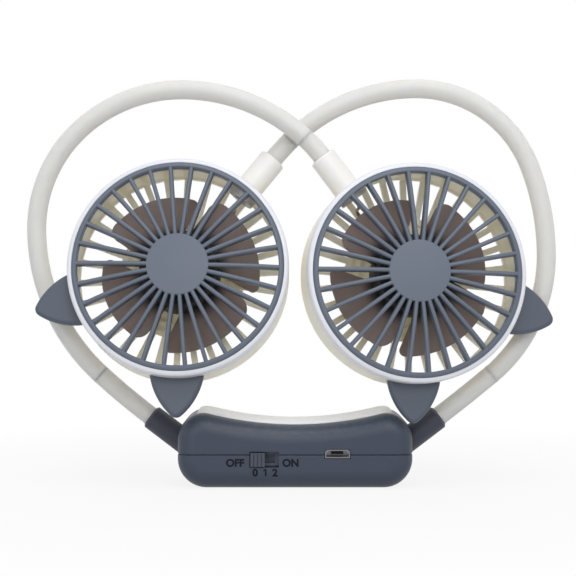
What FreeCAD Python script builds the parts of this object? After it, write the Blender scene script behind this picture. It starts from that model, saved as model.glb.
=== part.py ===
"""Electric neck fan with two eared fan heads on crossed gooseneck arms, standing on its battery box.

The frame stands the fan on the flat base of its battery box: +X to the right, +Y away from the
viewer, +Z up, with the origin at the centre of the base. Every head is modelled about its own axis
(local +Z out of the grille, local +Y towards its collar) and then placed at the end of its arm.
"""
import FreeCAD, Part
import math
import os
import re

import Sketcher

Vector = FreeCAD.Vector
Placement = FreeCAD.Placement
Rotation = FreeCAD.Rotation

# Driving sizes: millimetres, degrees for what is called angle, turn, bend, lean or swivel, and counts.
SIZES = {
    # Battery box
    "box_length": 73.0,
    "box_depth": 32.0,
    "box_hump_height": 23.0,
    "box_middle_height": 19.5,
    "box_seam_height": 10.5,
    "box_base_corner": 9.0,
    "box_hump_radius": 8.0,
    "box_edge_radius": 5.5,
    "box_floor": 2.0,
    "box_roof": 2.0,
    "box_end_wall": 5.5,
    "box_face_wall": 3.0,
    "cavity_corner": 4.5,
    "seam_groove": 0.35,
    # Neck pad
    "pad_thickness": 0.9,
    "pad_width": 21.0,
    "pad_wrap_angle": 17.0,
    # Slide switch
    "switch_offset": -9.55,
    "switch_height": 9.15,
    "knob_width": 4.4,
    "knob_height": 4.3,
    "knob_proud": 0.8,
    "knob_groove": 0.45,
    "knob_groove_count": 3,
    "knob_travel": 4.0,
    "knob_clearance": 0.3,
    "knob_stem": 2.0,
    "knob_stem_reach": 1.6,
    "switch_body_width": 9.0,
    "switch_body_height": 4.6,
    "switch_body_depth": 3.4,
    # Charging socket
    "socket_offset": 13.05,
    "socket_centre_height": 10.9,
    "socket_width": 7.7,
    "socket_height": 2.65,
    "socket_depth": 5.6,
    "socket_chamfer": 0.8,
    "socket_wall": 0.4,
    "socket_back": 0.6,
    "socket_recess": 0.3,
    "socket_clearance": 0.2,
    "tongue_width": 3.7,
    "tongue_thickness": 0.6,
    "tongue_length": 3.8,
    # Cell, board and their screws
    "cell_radius": 7.0,
    "cell_length": 50.0,
    "cell_offset": 5.0,
    "cell_clearance": 0.2,
    "cell_button_radius": 2.6,
    "cell_button_height": 0.6,
    "board_length": 47.0,
    "board_depth": 9.4,
    "board_thickness": 1.0,
    "board_post_spacing": 41.0,
    "board_post_radius": 2.0,
    "board_post_setback": 5.4,
    "board_clearance": 0.3,
    "small_screw_radius": 0.9,
    "small_screw_head": 1.7,
    "small_screw_head_height": 1.1,
    "small_screw_length": 4.5,
    "case_screw_spacing": 56.0,
    "case_screw_depth_spacing": 16.4,
    "case_boss_radius": 2.4,
    "case_screw_radius": 1.1,
    "case_screw_head": 2.1,
    "case_screw_head_height": 1.5,
    "case_screw_length": 13.0,
    "case_screw_sink": 3.2,
    "case_clearance": 0.15,
    # Boots
    "boot_angle": 37.3,
    "boot_set_out": 1.0,
    "boot_root_height": 14.9,
    "boot_length": 10.6,
    "boot_radius": 3.9,
    "boot_seat": 4.6,
    "boot_round": 0.7,
    "boot_grip": 6.0,
    "lead_hole_radius": 2.1,
    "lead_hole_length": 8.0,
    # Arms
    "sleeve_radius": 3.0,
    "sleeve_bore": 2.0,
    "core_radius": 1.9,
    "core_bore": 1.1,
    "lead_radius": 0.8,
    "core_reach": 2.5,
    "lead_reach": 9.0,
    "left_arm_root_radius": 230.3,
    "left_arm_root_turn": 5.1,
    "left_arm_low_radius": 62.23,
    "left_arm_side_radius": 43.06,
    "left_arm_side_turn": 51.71,
    "left_arm_end_turn": 52.95,
    "left_arm_tip_turn": 10.31,
    "left_arm_lean": 3.2,
    "right_arm_root_radius": 464.8,
    "right_arm_root_turn": 2.6,
    "right_arm_low_radius": 49.2,
    "right_arm_side_radius": 79.73,
    "right_arm_side_turn": 20.99,
    "right_arm_end_turn": 50.9,
    "right_arm_tip_turn": 5.99,
    "right_arm_lean": 0.7,
    "arm_tip_length": 8.0,
    "trial_radius": 10.0,
    # Places of the heads' centres, from the ends of the box and above its base, and how they face
    "left_head_set_out": -0.35,
    "left_head_height": 69.0,
    "left_head_bend": 8.3,
    "left_head_swivel": 6.8,
    "right_head_set_out": 1.43,
    "right_head_height": 67.08,
    "right_head_bend": 2.2,
    "right_head_swivel": 9.9,
    # Head housing
    "head_radius": 34.3,
    "head_wall": 1.4,
    "head_parting": 4.5,
    "head_back": 20.5,
    "head_shoulder": 3.5,
    "bezel_round": 1.3,
    "bezel_lip": 1.0,
    "bezel_lip_depth": 0.6,
    "bezel_ledge": 0.8,
    "bezel_groove": 0.4,
    "housing_fit": 0.05,
    "rear_slot_inner": 20.0,
    "rear_slot_outer": 32.3,
    "rear_strut_width": 2.0,
    "rear_strut_count": 30,
    "rear_rib_inner": 14.6,
    "rear_rib_outer": 17.6,
    "rear_rib_width": 1.0,
    "rear_rib_height": 0.5,
    # Front grille
    "grille_radius": 32.7,
    "grille_ring_width": 1.6,
    "grille_ring_height": 2.2,
    "grille_seat": 2.0,
    "grille_disc_radius": 9.6,
    "grille_rise": 2.6,
    "grille_thickness": 2.0,
    "grille_curve": 95.0,
    "grille_spoke_width": 1.3,
    "grille_spoke_count": 30,
    "grille_fit": 0.1,
    "left_grille_turn": 1.5,
    "right_grille_turn": -1.85,
    # Ears
    "outer_ear_angle": 34.8,
    "lower_ear_angle": 38.2,
    "ear_base_width": 16.7,
    "ear_length": 12.0,
    "ear_tip_radius": 2.3,
    "ear_side_radius": 21.0,
    "ear_front": 5.2,
    "ear_thickness": 3.2,
    "ear_edge": 1.3,
    "ear_tab_spacing": 11.2,
    "ear_tab_width": 3.0,
    "ear_tab_thickness": 1.8,
    "ear_tab_reach": 0.5,
    # Collar
    "collar_radius": 4.3,
    "collar_reach": 46.75,
    "collar_depth": 10.0,
    "collar_round": 0.7,
    "collar_grip": 5.0,
    "collar_flange_radius": 4.6,
    "collar_flange": 2.6,
    "sleeve_fit": 0.05,
    # Impeller and motor
    "impeller_radius": 25.0,
    "impeller_front": 5.4,
    "hub_radius": 12.6,
    "hub_depth": 10.6,
    "hub_wall": 1.2,
    "hub_round": 1.5,
    "hub_boss_radius": 2.6,
    "hub_boss_length": 2.8,
    "blade_count": 4,
    "left_impeller_turn": 24.1,
    "right_impeller_turn": 44.6,
    "blade_middle": 11.4,
    "blade_thickness": 1.2,
    "blade_root_pitch_angle": 36.0,
    "blade_tip_pitch_angle": 11.0,
    "blade_tip_angle": 80.0,
    "blade_sweep_angle": 16.0,
    "blade_root_angle": 72.0,
    "blade_corner_angle": 14.0,
    "blade_corner": 4.5,
    "blade_point_round": 2.0,
    "motor_radius": 9.0,
    "motor_front": 10.2,
    "motor_round": 0.8,
    "motor_cup_wall": 1.5,
    "motor_cup_height": 3.0,
    "motor_fit": 0.1,
    "endbell_radius": 8.4,
    "endbell_height": 2.0,
    "bush_radius": 2.4,
    "bush_height": 1.0,
    "shaft_radius": 1.0,
    "shaft_inner": 6.5,
    "shaft_running_fit": 0.04,
    "shaft_press_fit": 0.01,
    "motor_lead_radius": 0.5,
    "motor_lead_bend": 2.4,
    "motor_lead_entry": 2.5,
    # Cuts run past what they cut by this much
    "overrun": 2.0,
}

# Sizes worked out from the others: where an ear's round tip runs into its convex sides
FORMULAS = {
    "ear_half": "ear_base_width / 2",
    "ear_wall": "head_radius + housing_fit",
    "ear_foot": "sqrt(ear_wall ^ 2 - ear_half ^ 2)",
    "ear_tip_centre": "head_radius + ear_length - ear_tip_radius",
    "ear_height": "ear_tip_centre - ear_foot",
    "ear_slant": "sqrt(ear_half ^ 2 + ear_height ^ 2)",
    "ear_side_inner": "ear_side_radius - ear_tip_radius",
    "ear_side_run": "(ear_side_radius ^ 2 - ear_side_inner ^ 2 + ear_slant ^ 2) / 2 / ear_slant",
    "ear_side_bulge": "sqrt(ear_side_radius ^ 2 - ear_side_run ^ 2)",
    "ear_side_x": "ear_half - (ear_side_run * ear_half + ear_side_bulge * ear_height) / ear_slant",
    "ear_side_y": "ear_foot + (ear_side_run * ear_height - ear_side_bulge * ear_half) / ear_slant",
    "ear_tip_x": "-ear_side_x * ear_tip_radius / ear_side_inner",
    "ear_tip_y": "ear_tip_centre + (ear_tip_centre - ear_side_y) * ear_tip_radius / ear_side_inner",
}

# Shares of the sizes that they follow
GROOVE_PITCH_SHARE = 0.27
CLOSE_SHARE = 0.001

doc = FreeCAD.newDocument("neck_fan")
sheet = doc.addObject("Spreadsheet::Sheet", "sizes")
cells = {alias: str(value) for alias, value in SIZES.items()}
cells.update({alias: f"={formula}" for alias, formula in FORMULAS.items()})
for row, (alias, content) in enumerate(cells.items(), start=1):
    sheet.set(f"A{row}", alias)
    sheet.set(f"B{row}", content)
    sheet.setAlias(f"B{row}", alias)
    doc.recompute()

nodes = {}


# Expressions, sketches and features

def bound(text):
    """Turn each size's name in an expression into a reference to its cell."""
    return re.sub(r"[a-z_]+", lambda word: f"sizes.{word[0]}" if word[0] in cells else word[0], str(text))


def size(text):
    """Value of an expression in the sheet's sizes."""
    return float(sheet.evalExpression(bound(text)))


def keep(name, thing):
    """Label a finished sub-part and list it as a node."""
    thing.Label = name
    nodes[name] = thing
    return thing


def new_body(name, place=None):
    """Start the body of a sub-part, with its placement."""
    body = doc.addObject("PartDesign::Body", name)
    body.Placement = place or Placement()
    return keep(name, body)


def origin_feature(body, role):
    """Find a plane or an axis of a body's own origin."""
    return next(item for item in body.Origin.OriginFeatures if item.Role == role)


def new_sketch(body, role, lift="0", turn="0"):
    """Attach a sketch to a plane of the body's origin, lifted along its normal and turned in its plane."""
    sketch = body.newObject("Sketcher::SketchObject", body.Name + "_sketch")
    sketch.AttachmentSupport = (origin_feature(body, role), [""])
    sketch.MapMode = "FlatFace"
    sketch.AttachmentOffset = Placement(Vector(), Rotation(Vector(0, 0, 1), size(turn)))
    sketch.setExpression("AttachmentOffset.Base.z", bound(lift))
    return sketch


def hold(sketch, kind, places, value, text):
    """Add one dimension to a sketch and bind it to its expression."""
    index = sketch.addConstraint(Sketcher.Constraint(kind, *places, value))
    sketch.setExpression(f"Constraints[{index}]", bound(text))


def draw(sketch, corners):
    """Draw a closed outline.

    A corner is (x, y) where a straight edge arrives, or (x, y, radius, turn) where an arc of less than
    a half circle arrives, with turn 1 for anticlockwise and -1 for clockwise.
    """
    places = [Vector(size(corner[0]), size(corner[1]), 0) for corner in corners]
    first = sketch.GeometryCount
    ends = []
    for index, corner in enumerate(corners):
        start, end = places[index - 1], places[index]
        if len(corner) == 2:
            number = sketch.addGeometry(Part.LineSegment(start, end), False)
            ends.append((number, 1, 2))
            continue
        radius, turn = size(corner[2]), corner[3]
        chord = end - start
        side = Vector(-chord.y, chord.x, 0).normalize() * turn
        centre = (start + end) / 2 + side * math.sqrt(radius ** 2 - chord.Length ** 2 / 4)
        low, high = (start, end) if turn > 0 else (end, start)
        angles = [math.atan2(point.y - centre.y, point.x - centre.x) for point in (low, high)]
        circle = Part.Circle(centre, Vector(0, 0, 1), radius)
        number = sketch.addGeometry(Part.ArcOfCircle(circle, angles[0], angles[1]), False)
        ends.append((number, 1, 2) if turn > 0 else (number, 2, 1))
    for index, corner in enumerate(corners):
        number, _, last = ends[index]
        follower, start_point, _ = ends[(index + 1) % len(corners)]
        sketch.addConstraint(Sketcher.Constraint("Coincident", number, last, follower, start_point))
        hold(sketch, "DistanceX", (-1, 1, number, last), places[index].x, corner[0])
        hold(sketch, "DistanceY", (-1, 1, number, last), places[index].y, corner[1])
        if len(corner) == 4:
            hold(sketch, "Radius", (first + index,), size(corner[2]), corner[2])


def draw_circle(sketch, x, y, radius):
    """Draw a full circle."""
    circle = Part.Circle(Vector(size(x), size(y), 0), Vector(0, 0, 1), size(radius))
    number = sketch.addGeometry(circle, False)
    hold(sketch, "DistanceX", (-1, 1, number, 3), size(x), x)
    hold(sketch, "DistanceY", (-1, 1, number, 3), size(y), y)
    hold(sketch, "Radius", (number,), size(radius), radius)


def rectangle(x, y, width, height):
    """Corners of a rectangle about a centre."""
    left, right = f"({x}) - ({width}) / 2", f"({x}) + ({width}) / 2"
    low, high = f"({y}) - ({height}) / 2", f"({y}) + ({height}) / 2"
    return [(left, low), (right, low), (right, high), (left, high)]


def rounded_rectangle(width, height, radius):
    """Corners of a rectangle about the sketch's origin, with rounded corners."""
    x, y = f"({width}) / 2", f"({height}) / 2"
    return [
        (f"{x} - {radius}", f"-{y}"), (x, f"-{y} + {radius}", radius, 1),
        (x, f"{y} - {radius}"), (f"{x} - {radius}", y, radius, 1),
        (f"-{x} + {radius}", y), (f"-{x}", f"{y} - {radius}", radius, 1),
        (f"-{x}", f"-{y} + {radius}"), (f"-{x} + {radius}", f"-{y}", radius, 1),
    ]


def feature(body, kind, sketch, length=None, reverse=False, middle=False):
    """Add a pad or a pocket of a sketch; without a length it runs through everything."""
    item = body.newObject(f"PartDesign::{kind}", f"{body.Name}_{kind}")
    item.Profile = sketch
    item.Reversed = reverse
    item.Midplane = middle
    if length is None:
        item.Type = "ThroughAll"
    else:
        item.setExpression("Length", bound(length))
    return item


def revolve(body, corners, kind="Revolution"):
    """Turn a profile of radius and height about the body's Z axis."""
    sketch = new_sketch(body, "XZ_Plane")
    draw(sketch, corners)
    item = body.newObject(f"PartDesign::{kind}", f"{body.Name}_{kind}")
    item.Profile = sketch
    item.ReferenceAxis = (sketch, ["V_Axis"])
    return item


def repeat(body, original, count):
    """Repeat a feature round the body's Z axis."""
    pattern = body.newObject("PartDesign::PolarPattern", f"{body.Name}_pattern")
    pattern.Originals = [original]
    pattern.Axis = (origin_feature(body, "Z_Axis"), [""])
    pattern.setExpression("Occurrences", bound(count))
    body.Tip = pattern
    return pattern


def soften(body, base, kind, amount, wanted):
    """Fillet or chamfer the edges of a feature that pass the test."""
    doc.recompute()
    names = [f"Edge{i}" for i, edge in enumerate(base.Shape.Edges, start=1) if wanted(edge)]
    item = body.newObject(f"PartDesign::{kind}", f"{body.Name}_{kind}")
    item.Base = (base, names)
    item.setExpression("Radius" if kind == "Fillet" else "Size", bound(amount))
    return item


def bore(body, start, direction, radius, length):
    """Drill a round hole into a body from a point along a direction."""
    item = body.newObject("PartDesign::SubtractiveCylinder", f"{body.Name}_bore")
    item.setExpression("Radius", bound(radius))
    item.setExpression("Height", bound(length))
    item.Placement = Placement(start, Rotation(Vector(0, 0, 1), direction))
    return item


def cylinder(name, radius, length, place):
    """Make a plain cylinder."""
    item = doc.addObject("Part::Cylinder", name)
    item.setExpression("Radius", bound(radius))
    item.setExpression("Height", bound(length))
    item.Placement = place
    return item


def fused(name, pieces):
    """Join pieces that are moulded or turned as one."""
    item = doc.addObject("Part::MultiFuse", name)
    item.Shapes = pieces
    return keep(name, item)


def grouped(name, shapes):
    """Keep several separate solids as one node."""
    item = doc.addObject("Part::Feature", name)
    item.Shape = Part.makeCompound(shapes)
    return keep(name, item)


# Battery box

HALF = "(box_length / 2)"
FACE = "(box_depth / 2)"
HUMP_X = "(box_length / 2 - box_hump_radius)"
HUMP_Z = "(box_hump_height - box_hump_radius)"
DIP = "(box_middle_height - box_hump_height + box_hump_radius)"
CONCAVE = f"(({HUMP_X} ^ 2 + {DIP} ^ 2 - box_hump_radius ^ 2) / 2 / (box_hump_radius - {DIP}))"
LEAN_X = f"({HUMP_X} / ({CONCAVE} + box_hump_radius))"
LEAN_Z = f"(({CONCAVE} + {DIP}) / ({CONCAVE} + box_hump_radius))"
CAVITY_LENGTH = "(box_length - 2 * box_end_wall)"
CAVITY_DEPTH = "(box_depth - 2 * box_face_wall)"
BOARD_TOP = "(socket_centre_height - socket_height / 2)"
BOARD_FRONT = "(box_face_wall - box_depth / 2 + board_clearance)"
BOARD_POST_Y = f"({BOARD_FRONT} + board_post_setback)"
SCREW_SEAT = "(box_hump_height - case_screw_sink)"
SWITCH_FRONT = "(box_face_wall - box_depth / 2 + knob_clearance)"


def near(first, second):
    """True where two lengths agree to a small part of the cuts' overrun."""
    return abs(first - second) < size("overrun") * CLOSE_SHARE


def on_seam(edge):
    """True for an edge that lies on the seam between the shells."""
    box = edge.BoundBox
    return near(box.ZMin, size("box_seam_height")) and near(box.ZMax, size("box_seam_height"))


def on_outline(edge):
    """True for an edge of the box's front or back outline that isn't on the seam."""
    box = edge.BoundBox
    on_face = near(box.YMin, box.YMax) and near(abs(box.YMin), size(FACE))
    return on_face and not on_seam(edge)


def spread(x, y):
    """Places of four fasteners at the corners of a rectangle."""
    return [(f"{i} * ({x}) / 2", f"{j} * ({y}) / 2") for i in (-1, 1) for j in (-1, 1)]


def boot_point(sign, along):
    """Point on a boot's axis, counted outwards from where it meets the box."""
    angle = math.radians(size("boot_angle"))
    reach = size(along)
    return Vector(sign * (size(f"{HALF} + boot_set_out") + reach * math.cos(angle)), 0,
                  size("boot_root_height") + reach * math.sin(angle))


def boot_direction(sign):
    """Direction of a boot, out of the box."""
    angle = math.radians(size("boot_angle"))
    return Vector(sign * math.cos(angle), 0, math.sin(angle))


def cut_openings(body):
    """Cut the switch's window, the socket's mouth and the boots' seats, which both shells share."""
    sketch = new_sketch(body, "XZ_Plane")
    draw(sketch, rectangle("switch_offset", "switch_height", "knob_width + knob_travel + 2 * knob_clearance",
                           "knob_height + 2 * knob_clearance"))
    draw(sketch, rectangle("socket_offset", "socket_centre_height", "socket_width + 2 * socket_clearance",
                           "socket_height + 2 * socket_clearance"))
    feature(body, "Pocket", sketch, f"{FACE} + overrun", reverse=True)
    for sign in (-1, 1):
        seat, outwards = boot_point(sign, "-boot_seat"), boot_direction(sign)
        bore(body, seat, outwards, "boot_radius + housing_fit", "boot_seat + boot_length")
        bore(body, seat, outwards * -1, "lead_hole_radius", "lead_hole_length")


def make_outer_shell():
    """Lower half of the box: the base it stands on, with the board's posts and the screw bosses."""
    body = new_body("outer_shell")
    outline = new_sketch(body, "XZ_Plane")
    draw(outline, [
        (f"-{HALF} + box_base_corner", "0", "box_base_corner", 1), (f"{HALF} - box_base_corner", "0"),
        (HALF, "box_base_corner", "box_base_corner", 1), (HALF, "box_seam_height"),
        (f"-{HALF}", "box_seam_height"), (f"-{HALF}", "box_base_corner"),
    ])
    block = feature(body, "Pad", outline, "box_depth", middle=True)
    rounded = soften(body, block, "Fillet", "box_edge_radius", on_outline)
    soften(body, rounded, "Chamfer", "seam_groove", on_seam)
    cavity = new_sketch(body, "XY_Plane", "box_seam_height")
    draw(cavity, rounded_rectangle(CAVITY_LENGTH, CAVITY_DEPTH, "cavity_corner"))
    feature(body, "Pocket", cavity, "box_seam_height - box_floor")
    posts = new_sketch(body, "XY_Plane", "box_floor / 2")
    for sign in (-1, 1):
        draw_circle(posts, f"{sign} * board_post_spacing / 2", BOARD_POST_Y, "board_post_radius")
    feature(body, "Pad", posts, f"{BOARD_TOP} - board_thickness - box_floor / 2")
    bosses = new_sketch(body, "XY_Plane", "box_floor / 2")
    for x, y in spread("case_screw_spacing", "case_screw_depth_spacing"):
        draw_circle(bosses, x, y, "case_boss_radius")
    feature(body, "Pad", bosses, "box_seam_height - box_floor / 2")
    cut_openings(body)
    up = Vector(0, 0, 1)
    for x, y in spread("case_screw_spacing", "case_screw_depth_spacing"):
        bore(body, Vector(size(x), size(y), size("box_floor")), up, "case_screw_radius", "box_seam_height")
    for sign in (-1, 1):
        foot = Vector(size(f"{sign} * board_post_spacing / 2"), size(BOARD_POST_Y), size("box_floor"))
        bore(body, foot, up, "small_screw_radius", "box_seam_height")


def make_neck_side_shell():
    """Upper half of the box: two humps with the concave neck side between them."""
    body = new_body("neck_side_shell")
    outline = new_sketch(body, "XZ_Plane")
    crest_x = f"({HUMP_X} - box_hump_radius * {LEAN_X})"
    crest_z = f"({HUMP_Z} + box_hump_radius * {LEAN_Z})"
    draw(outline, [
        (f"-{HALF}", "box_seam_height"), (HALF, "box_seam_height"), (HALF, HUMP_Z),
        (crest_x, crest_z, "box_hump_radius", 1), (f"-{crest_x}", crest_z, CONCAVE, -1),
        (f"-{HALF}", HUMP_Z, "box_hump_radius", 1),
    ])
    block = feature(body, "Pad", outline, "box_depth", middle=True)
    rounded = soften(body, block, "Fillet", "box_edge_radius", on_outline)
    soften(body, rounded, "Chamfer", "seam_groove", on_seam)
    cavity = new_sketch(body, "XY_Plane", "box_seam_height")
    draw(cavity, rounded_rectangle(CAVITY_LENGTH, CAVITY_DEPTH, "cavity_corner"))
    feature(body, "Pocket", cavity, "box_middle_height - box_roof - box_seam_height", reverse=True)
    bosses = new_sketch(body, "XY_Plane", "box_seam_height")
    for x, y in spread("case_screw_spacing", "case_screw_depth_spacing"):
        draw_circle(bosses, x, y, "case_boss_radius")
    feature(body, "Pad", bosses, "box_middle_height - box_roof / 2 - box_seam_height")
    cut_openings(body)
    up = Vector(0, 0, 1)
    for x, y in spread("case_screw_spacing", "case_screw_depth_spacing"):
        seat = Vector(size(x), size(y), size(SCREW_SEAT))
        bore(body, seat, up, "case_screw_head + case_clearance", "case_screw_sink + overrun")
        above = seat + up * size("case_screw_head_height")
        bore(body, above, up * -1, "case_screw_radius + case_clearance", "box_hump_height")


def make_neck_pad():
    """Soft strip along the concave neck side and over both humps."""
    body = new_body("neck_pad")
    outline = new_sketch(body, "XZ_Plane")
    top = "(box_hump_radius + pad_thickness)"

    def end(radius):
        return f"({HUMP_X} + {radius} * sin(pad_wrap_angle))", f"({HUMP_Z} + {radius} * cos(pad_wrap_angle))"

    def crest(radius):
        return f"({HUMP_X} - {radius} * {LEAN_X})", f"({HUMP_Z} + {radius} * {LEAN_Z})"

    (low_end_x, low_end_z), (low_x, low_z) = end("box_hump_radius"), crest("box_hump_radius")
    (high_end_x, high_end_z), (high_x, high_z) = end(top), crest(top)
    draw(outline, [
        (f"-{low_end_x}", low_end_z), (f"-{low_x}", low_z, "box_hump_radius", -1), (low_x, low_z, CONCAVE, 1),
        (low_end_x, low_end_z, "box_hump_radius", -1), (high_end_x, high_end_z), (high_x, high_z, top, 1),
        (f"-{high_x}", high_z, f"({CONCAVE} - pad_thickness)", -1), (f"-{high_end_x}", high_end_z, top, 1),
    ])
    feature(body, "Pad", outline, "pad_width", middle=True)


def make_switch():
    """Slide switch: its body behind the front wall and the ribbed knob in the window."""
    body = new_body("switch_body")
    sketch = new_sketch(body, "XZ_Plane", f"-({SWITCH_FRONT})")
    draw(sketch, rectangle("switch_offset", "switch_height", "switch_body_width", "switch_body_height"))
    feature(body, "Pad", sketch, "switch_body_depth", reverse=True)
    slot = new_sketch(body, "XZ_Plane", f"-({SWITCH_FRONT})")
    slot_width = "knob_stem + knob_travel + 2 * knob_clearance"
    draw(slot, rectangle("switch_offset", "switch_height", slot_width, "knob_stem + 2 * knob_clearance"))
    feature(body, "Pocket", slot, "knob_stem_reach + knob_clearance")
    knob = new_body("switch_knob")
    middle = "switch_offset - knob_travel / 2"
    face = new_sketch(knob, "XZ_Plane", f"{FACE} + knob_proud")
    draw(face, rectangle(middle, "switch_height", "knob_width", "knob_height"))
    feature(knob, "Pad", face, "knob_proud + box_face_wall", reverse=True)
    stem = new_sketch(knob, "XZ_Plane", f"{FACE} - box_face_wall / 2")
    draw(stem, rectangle(middle, "switch_height", "knob_stem", "knob_stem"))
    feature(knob, "Pad", stem, "box_face_wall / 2 + knob_stem_reach", reverse=True)
    grooves = new_sketch(knob, "XZ_Plane", f"{FACE} + knob_proud")
    count = int(size("knob_groove_count"))
    for index in range(count):
        place = f"{middle} + ({index} - ({count} - 1) / 2) * knob_width * {GROOVE_PITCH_SHARE}"
        draw(grooves, rectangle(place, "switch_height", "knob_groove", "knob_height + overrun"))
    feature(knob, "Pocket", grooves, "knob_groove")


def make_charging_socket():
    """Metal charging socket with chamfered upper corners, and the tongue inside it."""
    body = new_body("charging_socket")
    mouth = f"{FACE} - socket_recess"
    outline = new_sketch(body, "XZ_Plane", mouth)

    def trapezoid(inset):
        wide, low = f"(socket_width / 2 - {inset})", f"(socket_centre_height - socket_height / 2 + {inset})"
        high = f"(socket_centre_height + socket_height / 2 - {inset})"
        return [
            (f"socket_offset - {wide}", low), (f"socket_offset + {wide}", low),
            (f"socket_offset + {wide}", f"{high} - socket_chamfer"),
            (f"socket_offset + {wide} - socket_chamfer", high),
            (f"socket_offset - {wide} + socket_chamfer", high),
            (f"socket_offset - {wide}", f"{high} - socket_chamfer"),
        ]

    draw(outline, trapezoid("0"))
    feature(body, "Pad", outline, "socket_depth", reverse=True)
    inside = new_sketch(body, "XZ_Plane", mouth)
    draw(inside, trapezoid("socket_wall"))
    feature(body, "Pocket", inside, "socket_depth - socket_back")
    tongue = new_body("socket_tongue")
    plate = new_sketch(tongue, "XZ_Plane", f"{FACE} - socket_recess - socket_depth + socket_back")
    draw(plate, rectangle("socket_offset", "socket_centre_height", "tongue_width", "tongue_thickness"))
    feature(tongue, "Pad", plate, "tongue_length")


def make_board():
    """Circuit board with the switch let into its front edge."""
    body = new_body("circuit_board")
    plate = new_sketch(body, "XY_Plane", f"{BOARD_TOP} - board_thickness")
    left, right = "-board_length / 2", "board_length / 2"
    notch_left = "switch_offset - switch_body_width / 2 - board_clearance"
    notch_right = "switch_offset + switch_body_width / 2 + board_clearance"
    back = f"{BOARD_FRONT} + board_depth"
    notch = f"{SWITCH_FRONT} + switch_body_depth + board_clearance"
    draw(plate, [
        (left, BOARD_FRONT), (notch_left, BOARD_FRONT), (notch_left, notch), (notch_right, notch),
        (notch_right, BOARD_FRONT), (right, BOARD_FRONT), (right, back), (left, back),
    ])
    feature(body, "Pad", plate, "board_thickness")
    for sign in (-1, 1):
        foot = Vector(size(f"{sign} * board_post_spacing / 2"), size(BOARD_POST_Y), 0)
        bore(body, foot, Vector(0, 0, 1), "small_screw_radius + housing_fit", "box_hump_height")


def screw(seat, radius, head_radius, head_height, length):
    """Solid of a pan-head screw standing on its seat, pointing down."""
    shank = Part.makeCylinder(radius, length, seat, Vector(0, 0, -1))
    head = Part.makeCylinder(head_radius, head_height, seat, Vector(0, 0, 1))
    edges = [edge for edge in head.Edges if edge.BoundBox.ZMin > seat.z + head_height / 2]
    return head.makeFillet(head_height / 2, edges[:1]).fuse(shank)


def make_screws():
    """Screws of the case, sunk under the neck pad, and of the circuit board."""
    shapes = []
    for x, y in spread("case_screw_spacing", "case_screw_depth_spacing"):
        seat = Vector(size(x), size(y), size(SCREW_SEAT))
        shapes.append(screw(seat, size("case_screw_radius"), size("case_screw_head"),
                            size("case_screw_head_height"), size("case_screw_length")))
    grouped("case_screws", shapes)
    shapes = []
    for sign in (-1, 1):
        seat = Vector(size(f"{sign} * board_post_spacing / 2"), size(BOARD_POST_Y), size(BOARD_TOP))
        shapes.append(screw(seat, size("small_screw_radius"), size("small_screw_head"),
                            size("small_screw_head_height"), size("small_screw_length")))
    grouped("board_screws", shapes)


def make_cell():
    """Round lithium cell lying along the box behind the board, with its button end."""
    along = Rotation(Vector(0, 0, 1), Vector(1, 0, 0))
    height = "box_floor + cell_clearance + cell_radius"
    start = Vector(size("-cell_length / 2"), size("cell_offset"), size(height))
    can = cylinder("cell_can", "cell_radius", "cell_length - cell_button_height", Placement(start, along))
    button = cylinder("cell_button", "cell_button_radius", "cell_length", Placement(start, along))
    fused("battery_cell", [can, button])


def make_boot(side, sign):
    """Strain relief boot pressed into the box, with a rounded mouth round the arm."""
    place = Placement(boot_point(sign, "0"), Rotation(Vector(0, 0, 1), boot_direction(sign)))
    body = new_body(f"{side}_boot", place)
    grip = "(sleeve_radius + sleeve_fit)"
    revolve(body, [
        ("lead_hole_radius", "-boot_seat"), ("boot_radius", "-boot_seat"),
        ("boot_radius", "boot_length - boot_round"),
        (grip, "boot_length", "boot_radius", 1),
        (grip, "boot_length - boot_grip"), ("lead_hole_radius", "boot_length - boot_grip"),
    ])


# Arms

class Walker:
    """Walks along a centre line and keeps its moves by stretch."""

    def __init__(self, point, ahead, left):
        self.point, self.ahead, self.left = point, ahead, left
        self.moves = []

    def edges(self, *stretches):
        """Edges of some stretches, in walking order."""
        return [curve(*points).toShape() for stretch, curve, points in self.moves if stretch in stretches]

    def straight(self, stretch, length):
        """Go straight on."""
        end = self.point + self.ahead * length
        self.moves.append((stretch, Part.LineSegment, (self.point, end)))
        self.point = end

    def bend(self, stretch, radius, angle, towards=None):
        """Turn on an arc towards the left, or towards another direction square to the way ahead."""
        side = towards or self.left
        half, full = math.radians(angle) / 2, math.radians(angle)
        middle = self.point + self.ahead * radius * math.sin(half) + side * radius * (1 - math.cos(half))
        end = self.point + self.ahead * radius * math.sin(full) + side * radius * (1 - math.cos(full))
        self.moves.append((stretch, Part.Arc, (self.point, middle, end)))
        turn = Rotation(self.ahead.cross(side), angle)
        self.point, self.ahead, self.left = end, turn.multVec(self.ahead), turn.multVec(self.left)


def far_side(side):
    """Side of the head that an arm carries, as the arms cross."""
    return "right" if side == "left" else "left"


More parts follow.
